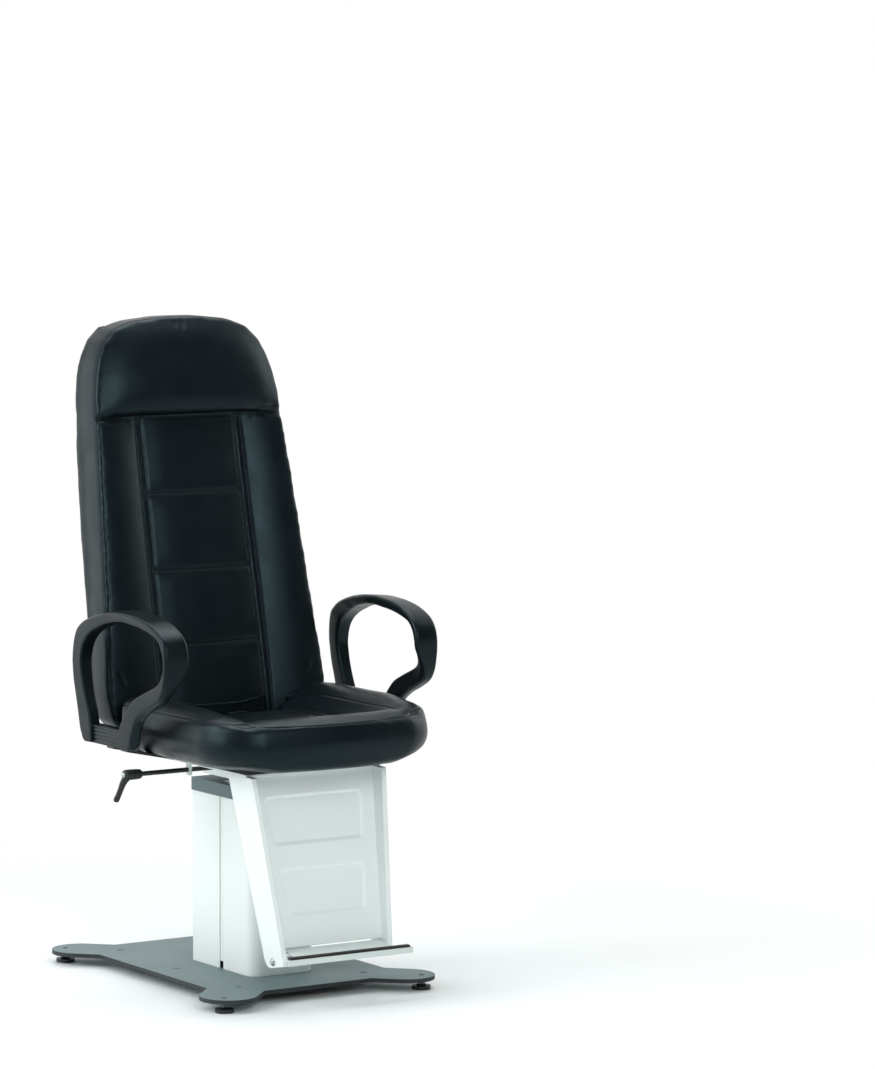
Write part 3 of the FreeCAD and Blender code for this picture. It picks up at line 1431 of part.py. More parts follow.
def build():
    nodes = {
        "base_plate": base_plate(),
        "stiffener_plate": stiffener_plate(),
        "guide_column": guide_column(),
        "column_bolts": group([column_bolt(x, y, 0) for x, y in column_bolt_places()]),
        "front_shroud": shroud(True),
        "rear_shroud": shroud(False),
        "shroud_seam_strips": seam_strips(),
        "cable_gland": cable_gland(),
        "gearbox_housing": gearbox_housing(),
        "motor": motor(),
        "spindle_bearing": spindle_bearing(),
        "spindle": spindle(),
        "upper_glide_pads": glide_pads(True, guide_top - pad_h),
        "lift_tube": lift_tube(),
        "lower_glide_pads": glide_pads(False, lift_foot),
        "push_tube": push_tube(),
        "spindle_nut": spindle_nut(),
        "top_plate": top_plate(),
        "head_cap": head_cap(),
        "swivel_post": swivel_post(),
        "swivel_screws": swivel_screws(),
        "thrust_washer": thrust_washer(),
        "post_retainer": post_retainer(),
        "swivel_hub": swivel_hub(),
        "swivel_bushing": swivel_bushing(),
        "swivel_housing": swivel_housing(),
        "brake_shoe": brake_shoe(),
        "lever_rod": lever_rod(),
        "lever_insert": lever_insert(),
        "lever_handle": lever_handle(),
        "lever_screw": lever_screw(),
        "seat_carrier": seat_carrier(),
        "seat_spacers": seat_spacers(),
        "seat_bolts": seat_bolts(),
        "seat_board": seat_board(),
        "seat_cushion": seat_cushion(),
        "footrest_panel": footrest_panel(),
        "panel_screws": panel_screws(),
        "tread_bolts": tread_bolts(),
        "tread": tread(),
        "tread_rubber": tread_rubber(),
        "back_board": back_board(),
        "back_cushion": back_cushion(),
        "back_cover": back_cover(),
        "back_bar": back_bar(),
        "back_bar_bolts": back_bar_bolts(),
        "back_bar_screws": back_bar_screws(),
        "armrest_left": armrest(1),
        "armrest_right": armrest(-1),
        "arm_brackets": arm_brackets(),
        "arm_screws": arm_screws(),
        "bracket_screws": bracket_screws(),
    }
    for name, (x, y) in foot_places().items():
        nodes["foot_pad_" + name] = foot_pad(x, y)
        nodes["foot_stud_" + name] = foot_stud(x, y)
    return nodes


os.makedirs("parts", exist_ok=True)
for node, shape in build().items():
    shape.translate(vec(0, -middle_y, 0))
    shape.exportStep("parts/" + node + ".step")
    bounds = shape.BoundBox
    print(node, len(shape.Solids), "solids", "valid" if shape.isValid() else "NOT VALID",
          [round(v, 1) for v in (bounds.XMin, bounds.XMax, bounds.YMin, bounds.YMax,
                                 bounds.ZMin, bounds.ZMax)])
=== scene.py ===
import json
import math

import bmesh
import bpy
import numpy as np
from mathutils import Matrix, Vector
from mathutils.bvhtree import BVHTree


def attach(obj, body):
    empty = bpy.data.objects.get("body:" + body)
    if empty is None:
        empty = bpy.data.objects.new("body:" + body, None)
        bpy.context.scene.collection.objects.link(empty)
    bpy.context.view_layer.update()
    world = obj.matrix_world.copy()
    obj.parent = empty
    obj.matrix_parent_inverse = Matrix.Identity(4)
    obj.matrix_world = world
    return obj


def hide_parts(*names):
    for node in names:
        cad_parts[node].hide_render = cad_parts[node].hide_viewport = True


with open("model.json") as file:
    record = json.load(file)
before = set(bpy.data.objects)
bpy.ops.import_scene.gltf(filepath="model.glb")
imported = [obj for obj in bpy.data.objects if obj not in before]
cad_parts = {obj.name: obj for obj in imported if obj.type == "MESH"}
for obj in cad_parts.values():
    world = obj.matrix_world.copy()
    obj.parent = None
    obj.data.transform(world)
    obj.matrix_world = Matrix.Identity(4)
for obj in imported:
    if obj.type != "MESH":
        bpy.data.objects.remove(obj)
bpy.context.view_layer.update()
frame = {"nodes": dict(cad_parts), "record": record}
nodes = frame["nodes"]
# where the swivel axis stands in the frame, mm; the places below are measured from it
swivelY = -19.0
print("frame loaded", len(nodes), "nodes")


# places and small helpers

def toFrame(points):
    return (np.asarray(points, float) + (0, swivelY, 0)) / 1000


def toMm(points):
    return np.asarray(points, float) * 1000 - (0, swivelY, 0)


def blendShare(low, high, value):
    share = np.clip((value - low) / (high - low), 0, 1)
    return share * share * (3 - 2 * share)


def smoothColumn(positions, values, wanted, spread=0.012):
    fine = np.linspace(positions[0], positions[-1], 1201)
    heights = np.interp(fine, positions, values)
    reach = max(int(spread * 1200), 1)
    kernel = np.hanning(2 * reach + 1)
    kernel /= kernel.sum()
    longer = np.concatenate([2 * heights[0] - heights[reach:0:-1], heights,
                             2 * heights[-1] - heights[-2:-reach - 2:-1]])
    return np.interp(wanted, fine, np.convolve(longer, kernel, "valid"))


def arcPoints(a, b, c, count):
    a, b, c = (np.asarray(p, float) for p in (a, b, c))
    ux, uy = b - a
    vx, vy = c - a
    cross = 2 * (ux * vy - uy * vx)
    if abs(cross) < 1e-9:
        return a + (c - a) * np.linspace(0, 1, count, endpoint=False)[:, None]
    uu, vv = ux * ux + uy * uy, vx * vx + vy * vy
    centre = a + np.array([vy * uu - uy * vv, ux * vv - vx * uu]) / cross
    start = math.atan2(*(a - centre)[::-1])
    middle = (math.atan2(*(b - centre)[::-1]) - start) % math.tau
    end = (math.atan2(*(c - centre)[::-1]) - start) % math.tau
    if middle > end:
        end -= math.tau
    angles = start + end * np.linspace(0, 1, count, endpoint=False)
    return centre + math.dist(a, centre) * np.stack([np.cos(angles), np.sin(angles)], 1)


def curveThrough(stations, steps):
    # a smooth run through every station, in all of its columns
    stations = np.asarray(stations, float)
    ends = np.vstack([2 * stations[0] - stations[1], stations, 2 * stations[-1] - stations[-2]])
    t = np.linspace(0, 1, steps, endpoint=False)[:, None]
    runs = []
    for a, b, c, d in zip(ends, ends[1:], ends[2:], ends[3:]):
        runs.append((2 * b + (c - a) * t + (2 * a - 5 * b + 4 * c - d) * t ** 2
                     + (3 * b - a - 3 * c + d) * t ** 3) / 2)
    return np.concatenate(runs + [stations[-1:]])


def roundedRing(corners, radii, steps):
    corners = [np.asarray(c, float) for c in corners]
    runs = []
    for i, corner in enumerate(corners):
        before, after = corners[i - 1], corners[(i + 1) % len(corners)]
        back = (before - corner) / np.linalg.norm(before - corner)
        ahead = (after - corner) / np.linalg.norm(after - corner)
        half = math.acos(float(np.clip(back @ ahead, -1, 1))) / 2
        reach = radii[i] / math.tan(half)
        inward = (back + ahead) / np.linalg.norm(back + ahead)
        centre = corner + inward * (radii[i] / math.sin(half))
        runs.append(arcPoints(corner + back * reach, centre - inward * radii[i],
                              corner + ahead * reach, steps))
        runs.append((corner + ahead * reach)[None])
    return np.concatenate(runs)


def leftOf(point):
    return (-point[0], point[1])


def makeMesh(name, points, faces):
    mesh = bpy.data.meshes.new(name)
    mesh.from_pydata([tuple(p) for p in points], [], [tuple(int(i) for i in f) for f in faces])
    mesh.update()
    piece = bpy.data.objects.new(name, mesh)
    bpy.context.scene.collection.objects.link(piece)
    return piece


def ringMesh(name, rings):
    rings = np.asarray(rings, float)
    count, size = rings.shape[:2]
    faces = []
    for low in range(0, (count - 1) * size, size):
        high = low + size
        for i in range(size):
            j = (i + 1) % size
            faces.append((low + i, low + j, high + j, high + i))
    faces.append(tuple(range(size))[::-1])
    faces.append(tuple((count - 1) * size + i for i in range(size)))
    piece = makeMesh(name, rings.reshape(-1, 3), faces)
    work = bmesh.new()
    work.from_mesh(piece.data)
    bmesh.ops.remove_doubles(work, verts=work.verts, dist=1e-6)
    bmesh.ops.recalc_face_normals(work, faces=work.faces)
    work.to_mesh(piece.data)
    work.free()
    return piece


def joinInto(piece, others):
    work = bmesh.new()
    work.from_mesh(piece.data)
    for other in others:
        work.from_mesh(other.data)
        bpy.data.objects.remove(other)
    work.to_mesh(piece.data)
    work.free()


def applyModifiers(piece):
    depsgraph = bpy.context.evaluated_depsgraph_get()
    mesh = bpy.data.meshes.new_from_object(piece.evaluated_get(depsgraph), depsgraph=depsgraph)
    piece.modifiers.clear()
    old = piece.data
    piece.data = mesh
    mesh.name = old.name
    bpy.data.meshes.remove(old)


def readPoints(mesh):
    points = np.empty(len(mesh.vertices) * 3, np.float32)
    mesh.vertices.foreach_get("co", points)
    return points.reshape(-1, 3).astype(float)


def writePoints(mesh, points):
    mesh.vertices.foreach_set("co", np.asarray(points, np.float32).ravel())
    mesh.update()


def readNormals(mesh):
    normals = np.empty(len(mesh.vertices) * 3, np.float32)
    mesh.vertex_normals.foreach_get("vector", normals)
    return normals.reshape(-1, 3).astype(float)


def addAttribute(mesh, name, values):
    attribute = mesh.attributes.new(name, "FLOAT_VECTOR", "POINT")
    attribute.data.foreach_set("vector", np.asarray(values, np.float32).ravel())


def shadeSmooth(piece):
    piece.data.polygons.foreach_set("use_smooth", [True] * len(piece.data.polygons))


def addSmooth(piece, rounds):
    smooth = piece.modifiers.new("smooth", "SMOOTH")
    smooth.factor = 0.5
    smooth.iterations = rounds


def addSubdivision(piece):
    divide = piece.modifiers.new("divide", "SUBSURF")
    divide.levels = divide.render_levels = 1


def voxelSkin(piece, voxel, rounds):
    remesh = piece.modifiers.new("remesh", "REMESH")
    remesh.mode = "VOXEL"
    remesh.voxel_size = voxel
    addSmooth(piece, rounds)
    applyModifiers(piece)


def smoothField(mesh, field, rounds, own=0.4):
    # evens out a vector at every vertex with its neighbours
    ends = np.empty(len(mesh.edges) * 2, np.int32)
    mesh.edges.foreach_get("vertices", ends)
    a, b = ends.reshape(-1, 2).T
    count = len(field)
    joined = np.bincount(a, minlength=count) + np.bincount(b, minlength=count)
    for _ in range(rounds):
        total = np.stack([np.bincount(a, field[b, k], count) + np.bincount(b, field[a, k], count)
                          for k in range(3)], 1)
        field = own * field + (1 - own) * total / joined[:, None]
    return field


puffSettings = {
    "frames": 20, "evenRounds": 60, "smoothRounds": 7,
    "cloth": {"quality": 5, "mass": 0.3, "tension_stiffness": 18, "compression_stiffness": 18,
              "shear_stiffness": 6, "bending_stiffness": 1.2, "use_pressure": True},
}


def puff(piece, voxel, pressure, cap, hold):
    # the cover is blown up from inside a little and then held by its seams
    voxelSkin(piece, voxel, 1)
    start = readPoints(piece.data)
    settings = piece.modifiers.new("cloth", "CLOTH").settings
    for key, value in puffSettings["cloth"].items():
        setattr(settings, key, value)
    settings.uniform_pressure_force = pressure
    settings.effector_weights.gravity = 0
    for number in range(1, puffSettings["frames"] + 1):
        bpy.context.scene.frame_set(number)
    applyModifiers(piece)
    bpy.context.scene.frame_set(1)
    moved = readPoints(piece.data) - start
    length = np.linalg.norm(moved, axis=1)
    moved *= np.minimum(1, cap / np.maximum(length, 1e-9))[:, None]
    moved = smoothField(piece.data, moved, puffSettings["evenRounds"])
    writePoints(piece.data, start + moved * hold(start)[:, None])
    print(piece.name, "puffed, largest free move", round(float(length.max()) * 1000, 1), "mm")
    addSmooth(piece, puffSettings["smoothRounds"])
    addSubdivision(piece)
    applyModifiers(piece)


def creaseDepth(places, a, b, width):
    # how deep a short fold between two points is, deepest in its middle
    a, b = np.asarray(a, float), np.asarray(b, float)
    along = np.clip((places - a) @ (b - a) / ((b - a) @ (b - a)), 0, 1)
    away = np.linalg.norm(places - (a + along[:, None] * (b - a)), axis=1)
    return np.exp(-(away / width) ** 2) * np.sin(math.pi * np.clip(along, 0.02, 0.98))


seamReach = 30.0  # mm, past which a vertex counts as away from any seam


def nearSeam(distance, where=True):
    return np.where(where, np.clip(distance, -seamReach, seamReach), seamReach)


def seamRelief(s, panelSeam, cross, inside, cover):
    # seams pull the cover in, and the panels between them stand up a little
    move = -s["seamDepth"] * np.exp(-(np.abs(panelSeam) - s["seamGap"]) ** 2 / 18) * cover
    for away in cross.T:
        move -= s["crossDepth"] * np.exp(-away ** 2 / 40) * cover
    rise = blendShare(4, s["panelReach"], np.min(np.abs(cross), axis=1))
    return move + s["panelPuff"] * rise * blendShare(0, s["panelSide"], inside) * cover


def sewCover(mesh, points, normals, move, seams, cross):
    # the seams' distances stay on the mesh, where the leatherette reads them
    writePoints(mesh, points + normals * (move / 1000)[:, None])
    addAttribute(mesh, "seams", np.stack(seams, 1))
    addAttribute(mesh, "crossSeams", cross)


# seat cushion, mm; voxel and cap in metres

seatSettings = {
    "halfWidth": 240.0, "front": 324.0, "seam": 536.0, "ridge": 554.0, "floor": 499.0,
    "panelHalf": 115.0, "rearRadius": 42.0, "rearSwell": 10.0, "rearGap": 3.0, "middleY": -60.0,
    # the plan's front corner, as shares of the half width and of the front
    "sideEnd": 0.58, "corner": (0.914, 0.817), "frontEnd": (0.68, 0.951),
    # underside: height, half width, front and rear
    "underside": ((456, 183, 276, 84), (449, 186.6, 280, 87)),
    # side wall up to the seam: height, then how far the sides, the ends and the corners draw in
    "skirt": ((444, 0.205, 0.10, 0.06), (446.6, 0.165, 0.055, 0.055), (450, 0.125, 0.03, 0.05),
              (454, 0.085, 0.012, 0.045), (461, 0.036, -0.006, 0.025), (473, -0.002, -0.018, 0.008),
              (487, -0.016, -0.024, 0.0), (499, -0.02, -0.026, 0.0), (512, -0.018, -0.02, 0.0),
              (524, -0.01, -0.010, 0.0)),
    # rings over the top, as shares of the way from the seam to the middle
    "insets": (0.006, 0.018, 0.035, 0.055, 0.08, 0.11, 0.145, 0.19, 0.25, 0.32, 0.4, 0.5, 0.6, 0.7,
               0.8, 0.9, 0.97),
    "crown": 0.1, "ridgeFall": 15.0, "rollHeight": 37.0, "cornerFill": 0.28,
    "rearFold": 9.0, "foldReach": 55.0,
    "crossSeams": (-175.0, -45.0, 85.0), "seamGap": 5.0, "seamDepth": 2.2, "crossDepth": 2.0,
    "edgeDepth": 1.3, "panelPuff": 4.0, "panelReach": 46.0, "panelSide": 40.0,
    # short folds in the plan: from, to, depth
    "folds": (((-205, -262), (-168, -288), 1.2), ((198, -268), (166, -292), 1.2),
              ((-222, 20), (-190, 60), 1.4), ((222, 30), (192, 66), 1.4),
              ((-60, -262), (-52, -290), 0.9), ((70, -266), (64, -292), 0.8)),
    "foldWidth": 4.5, "voxel": 0.0052, "pressure": 4.0, "cap": 0.008,
}
# backrest, mm; the face leans back and passes faceY at the height called level
backSettings = {
    "foot": 480.0, "top": 1268.0, "halfWidth": 246.0, "thick": 98.0, "coverThick": 6.0,
    "faceY": 128.7, "level": 555.0, "lean": math.radians(12.12),
    "seamHalf": 115.0, "recess": 22.0, "cornerRadius": 7.0, "shellInset": 9.0,
    # rings from the foot to the top, as shares of the height: from, to, how many
    "bands": ((0, 0.03, 7), (0.03, 0.73, 84), (0.73, 0.80, 26), (0.80, 0.9, 14), (0.9, 0.985, 34),
              (0.985, 1, 14)),
    "headSeam": 1071.0, "headDepth": 5.0, "pillowFall": 3.4,
    "crossSeams": (637.0, 778.0, 924.0), "seamGap": 5.0, "seamDepth": 2.4, "crossDepth": 2.2,
    "edgeDepth": 0.7, "panelPuff": 3.4, "panelReach": 50.0, "panelSide": 45.0,
    # short folds seen from the front: from, to, depth
    "folds": (((196, 1078), (132, 1082), 2.4), ((204, 1090), (150, 1078), 1.8),
              ((-196, 1080), (-150, 1078), 1.4), ((4, 1262), (-3, 1234), 1.3),
              ((-14, 1258), (-17, 1240), 0.8), ((108, 1062), (118, 1030), 1.0),
              ((-108, 1062), (-116, 1032), 0.9), ((-222, 600), (-205, 560), 1.6),
              ((222, 596), (204, 560), 1.6)),
    "foldWidth": 4.2, "voxel": 0.0056, "pressure": 4.0, "cap": 0.005,
}


def backFront(z):
    b = backSettings
    return b["faceY"] + (np.asarray(z, float) - b["level"]) * math.tan(b["lean"])


def seatOutline(half, front, rear, pull, z):
    s = seatSettings
    radius = s["rearRadius"]
    turn = radius * (1 - math.sqrt(0.5))
    side = (half, -front * (s["sideEnd"] - pull))
    corner = (half * (s["corner"][0] - pull), -front * (s["corner"][1] - pull))
    end = (half * (s["frontEnd"][0] - pull), -front * s["frontEnd"][1])
    rearEnd = (half - radius, rear)
    rearTurn = (half - turn, rear - turn)
    rearSide = (half, rear - radius)
    middle = ((rearSide[0] + side[0]) / 2, (rearSide[1] + side[1]) / 2)
    runs = [arcPoints(rearSide, middle, side, 44),
            arcPoints(side, corner, end, 26),
            arcPoints(end, (0, -front), leftOf(end), 44),
            arcPoints(leftOf(end), leftOf(corner), leftOf(side), 26),
            arcPoints(leftOf(side), leftOf(middle), leftOf(rearSide), 44),
            arcPoints(leftOf(rearSide), leftOf(rearTurn), leftOf(rearEnd), 10),
            arcPoints(leftOf(rearEnd), (0, rear + s["rearSwell"]), rearEnd, 40),
            arcPoints(rearEnd, rearTurn, rearSide, 10)]
    flat = np.concatenate(runs)
    return np.column_stack([flat, np.full(len(flat), z)])


def seatEdge():
    s = seatSettings
    rear = backFront(s["seam"]) - s["rearGap"]
    return seatOutline(s["halfWidth"], s["front"], rear, 0, s["seam"])


def seatSeamHeight(y):
    # the seam dips at the front, where the cushion rolls over the sitter's knees
    return seatSettings["seam"] + 3 - 9 * blendShare(-250, -330, y)


def seatTop(x, y):
    # high at the sides and over the front roll, low where the sitter sits and at the backrest
    s = seatSettings
    wide = np.abs(x)
    rear = backFront(s["floor"])
    ridge = s["ridge"] - s["ridgeFall"] * blendShare(-120, -300, y)
    side = blendShare(95, 214, wide)
    roll = blendShare(-190, -272, y)
    sideHeight = (ridge - s["floor"]) * side
    frontHeight = (s["rollHeight"] - 2 * blendShare(120, 220, wide)) * roll
    shared = s["cornerFill"] * np.minimum(sideHeight, frontHeight) * (1 - side * roll)
    height = s["floor"] + np.maximum(sideHeight, frontHeight) + shared
    return height - s["rearFold"] * blendShare(rear - s["foldReach"], rear, y) * (1 - side)


def makeSeat():
    s = seatSettings
    wide = s["halfWidth"]
    rings = [seatOutline(half, front, rear, 0, z) for z, half, front, rear in s["underside"]]
    for z, side, end, pull in s["skirt"]:
        rear = backFront(z) - s["rearGap"] - wide * max(end, 0) / 2
        rings.append(seatOutline(wide * (1 - side), s["front"] - wide * end, rear, pull, z))
    edge = seatEdge()
    seam = edge.copy()
    seam[:, 2] = seatSeamHeight(edge[:, 1])
    rings.append(seam)
    centre = np.array([0.0, s["middleY"]])
    for inset in s["insets"]:
        ring = seam.copy()
        ring[:, :2] = centre + (edge[:, :2] - centre) * (1 - inset)
        rise = math.sqrt(1 - (1 - min(inset / s["crown"], 1)) ** 2)
        ring[:, 2] = seam[:, 2] + (seatTop(ring[:, 0], ring[:, 1]) - seam[:, 2]) * rise
        rings.append(ring)
    piece = ringMesh("seatCushion", [toFrame(r) for r in rings])

    def hold(points):
        # the board holds the underside, and the backrest the rear
        rear = blendShare(0.085, 0.11, points[:, 1])
        return blendShare(0.448, 0.470, points[:, 2]) * (1 - 0.8 * rear)

    puff(piece, s["voxel"], s["pressure"], s["cap"], hold)
    sewSeat(piece)
    return piece


def sewSeat(piece):
    s = seatSettings
    mesh = piece.data
    points = readPoints(mesh)
    normals = readNormals(mesh)
    x, y, z = toMm(points).T
    upward = normals[:, 2]
    top = blendShare(0.2, 0.6, upward) * blendShare(s["seam"] + 6, s["floor"] + 12, z)
    panel = np.abs(x) - s["panelHalf"]
    onTop = (upward > 0.3) & (y > -262) & (y < 150)
    panelSeam = nearSeam(panel, onTop)
    cross = np.stack([nearSeam(y - place, onTop & (panel < 0)) for place in s["crossSeams"]], 1)
    edgeSeam = nearSeam(z - seatSeamHeight(y))
    move = seamRelief(s, panelSeam, cross, -panel, top)
    rim = blendShare(0.8, 0.3, upward) * (y < 100)
    move -= s["edgeDepth"] * np.exp(-(edgeSeam / 3.6) ** 2) * rim
    plan = np.stack([x, y], 1)
    for a, b, depth in s["folds"]:
        move -= depth * creaseDepth(plan, a, b, s["foldWidth"]) * blendShare(0.1, 0.5, upward)
    noHeadSeam = np.full(len(points), seamReach)
    sewCover(mesh, points, normals, move, [panelSeam, edgeSeam, noHeadSeam], cross)


# backrest cushion: height, width, thickness, then how deep the seams and the middle lie and how
# far the bolsters bulge, all as shares

backRows = np.array([
    (0.000, 0.900, 0.800, 1.00, 0.70, 0.10), (0.025, 0.975, 0.815, 1.00, 0.66, 0.16),
    (0.095, 1.000, 0.840, 1.00, 0.60, 0.25), (0.280, 0.960, 0.910, 1.00, 0.60, 0.34),
    (0.470, 0.920, 0.990, 1.00, 0.60, 0.36), (0.660, 0.880, 1.000, 1.00, 0.62, 0.32),
    (0.737, 0.862, 0.955, 0.95, 0.72, 0.16), (0.750, 0.857, 0.945, 0.90, 0.86, 0.06),
    (0.764, 0.857, 0.940, 0.45, 0.25, 0.18), (0.799, 0.853, 0.925, 0.30, 0.20, 0.20),
    (0.850, 0.830, 0.900, 0.30, 0.20, 0.20), (0.895, 0.790, 0.860, 0.30, 0.20, 0.20),
    (0.937, 0.725, 0.800, 0.20, 0.10, 0.10), (0.970, 0.620, 0.730, 0.10, 0.05, 0.05),
    (0.990, 0.450, 0.640, 0.05, 0.02, 0.02), (1.000, 0.150, 0.560, 0.00, 0.00, 0.00)])
# how far the head pillow stands out, mm
pillowRows = np.array([
    (0.000, -6), (0.748, -6), (0.756, 4), (0.770, 13), (0.800, 20), (0.850, 22), (0.895, 18.5),
    (0.937, 12.5), (0.970, 6), (0.990, 1.5), (1.000, 0)])
backCounts = {"panel": 40, "bolster": 26, "side": 18, "turn": 6, "rear": 50}


def backSection(share):
    b, count = backSettings, backCounts
    wide, thick, seam, centre, bulge = (
        float(smoothColumn(backRows[:, 0], backRows[:, k], share, spread))
        for k, spread in ((1, 0.006), (2, 0.02), (3, 0.006), (4, 0.006), (5, 0.006)))
    pillow = float(smoothColumn(pillowRows[:, 0], pillowRows[:, 1], share, 0.004))
    z = b["foot"] + (b["top"] - b["foot"]) * share
    y = float(backFront(z))
    half = b["halfWidth"] * wide
    seamX = min(b["seamHalf"], half * 0.52)
    seamY = y + b["recess"] * seam
    rear = y + b["thick"] * thick - b["coverThick"]
    radius = b["cornerRadius"] * wide
    edge = (half, y)
    seamPoint = (seamX, seamY)
    bolster = ((half + seamX) / 2, (y + seamY) / 2 - b["recess"] * bulge)
    side = (half + radius / 4, (y + rear) / 2)
    rearSide = (half - radius / 4, rear - radius)
    rearTurn = (half - radius / 4 - radius * 0.3, rear - radius * 0.3)
    rearEnd = (half - radius * 1.25, rear)
    middle = (0, y + b["recess"] * centre)
    runs = [arcPoints(leftOf(seamPoint), middle, seamPoint, count["panel"]),
            arcPoints(seamPoint, bolster, edge, count["bolster"]),
            arcPoints(edge, side, rearSide, count["side"]),
            arcPoints(rearSide, rearTurn, rearEnd, count["turn"]),
            arcPoints(rearEnd, (0, rear + 1e-4), leftOf(rearEnd), count["rear"]),
            arcPoints(leftOf(rearEnd), leftOf(rearTurn), leftOf(rearSide), count["turn"]),
            arcPoints(leftOf(rearSide), leftOf(side), leftOf(edge), count["side"]),
            arcPoints(leftOf(edge), leftOf(bolster), leftOf(seamPoint), count["bolster"])]
    flat = np.concatenate(runs)
    # above the head seam the whole front is one full pillow
    head = float(blendShare(0.744, 0.760, share))
    front = np.r_[0:count["panel"] + count["bolster"], len(flat) - count["bolster"]:len(flat)]
    outward = np.clip(np.abs(flat[front, 0]) / half, 0, 1)
    swell = y - pillow * (1 - outward ** b["pillowFall"])
    flat[front, 1] += (swell - flat[front, 1]) * head
    return np.column_stack([flat, np.full(len(flat), z)])


def backEdge(z):
    b = backSettings
    share = np.clip((np.asarray(z, float) - b["foot"]) / (b["top"] - b["foot"]), 0, 1)
    return b["halfWidth"] * smoothColumn(backRows[:, 0], backRows[:, 1], share, 0.006)


def backPanelHalf(z):
    return backSettings["seamHalf"] - 4 + 5 * blendShare(1070, 560, z)


def backOutline(count):
    # half of the front's outline, from the foot to the top, and the direction out of it
    b = backSettings
    z = np.concatenate([np.linspace(b["foot"], b["top"] - 40, count),
                        np.linspace(b["top"] - 39, b["top"], count // 2)])
    line = np.column_stack([backEdge(z), z])
    top = np.linspace(line[-1, 0], 0, 12)[1:]
    line = np.vstack([line, np.column_stack([top, np.full(len(top), b["top"])])])
    run = np.gradient(line, axis=0)
    out = np.column_stack([run[:, 1], -run[:, 0]])
    return line, out / np.linalg.norm(out, axis=1)[:, None]


def makeBack():
    b = backSettings
    shares = np.unique(np.concatenate([np.linspace(*band) for band in b["bands"]]))
    piece = ringMesh("backCushion", [toFrame(backSection(float(s))) for s in shares])

    def hold(points):
        # the board holds the rear
        mm = toMm(points)
        return 1 - blendShare(55, 80, mm[:, 1] - backFront(mm[:, 2]))

    puff(piece, b["voxel"], b["pressure"], b["cap"], hold)
    sewBack(piece)
    return piece


def sewBack(piece):
    b = backSettings
    mesh = piece.data
    points = readPoints(mesh)
    normals = readNormals(mesh)
    x, y, z = toMm(points).T
    behind = y - backFront(z)
    facing = blendShare(0.2, 0.5, -normals[:, 1])
    low = z < b["headSeam"] - 3
    panel = np.abs(x) - backPanelHalf(z)
    isFront = (normals[:, 1] < -0.2) & (behind < 40)
    panelSeam = nearSeam(panel, isFront & low)
    headSeam = nearSeam(z - b["headSeam"], isFront)
    onPanel = isFront & (panel < -b["seamGap"])
    cross = np.stack([nearSeam(z - place, onPanel) for place in b["crossSeams"]], 1)
    line, out = backOutline(160)
    place = np.stack([np.abs(x), z], 1)
    outside = np.empty(len(points))
    for start in range(0, len(points), 4000):
        offset = place[start:start + 4000, None] - line[None]
        nearest = np.argmin((offset ** 2).sum(2), axis=1)
        rows = np.arange(len(nearest))
        outside[start:start + 4000] = (offset[rows, nearest] * out[nearest]).sum(1)
    edgeSeam = nearSeam((behind + outside) / math.sqrt(2))
    edgeSeam = np.where((behind > 26) & (edgeSeam < 12), 12, edgeSeam)
    move = seamRelief(b, panelSeam, cross, np.where(low, -panel, 0), facing)
    move -= b["headDepth"] * np.exp(-(headSeam / 5.0) ** 2) * facing
    move -= b["edgeDepth"] * np.exp(-(edgeSeam / 4.0) ** 2)
    front = np.stack([x, z], 1)
    for p, q, depth in b["folds"]:
        move -= depth * creaseDepth(front, p, q, b["foldWidth"]) * facing
    sewCover(mesh, points, normals, move, [panelSeam, edgeSeam, headSeam], cross)


def makeShell():
    # the moulded cover behind the backrest, a little narrower than the cushion
    b = backSettings
    rings = []
    for share in np.concatenate([np.linspace(0.004, 0.9, 60), np.linspace(0.91, 0.968, 20)]):
        section = backSection(float(share))
        half = float(section[:, 0].max()) - b["shellInset"]
        rear = float(section[:, 1].max())
        outer = rear + b["coverThick"]
        corners = [(half, rear - 6), (half, outer), (-half, outer), (-half, rear - 6)]
        flat = roundedRing(corners, (2.0, 7.0, 7.0, 2.0), 6)
        rings.append(toFrame(np.column_stack([flat, section[:len(flat), 2]])))
    return ringMesh("backShell", rings)


# armrests: wide and thin over the pad, narrow and deep at the posts

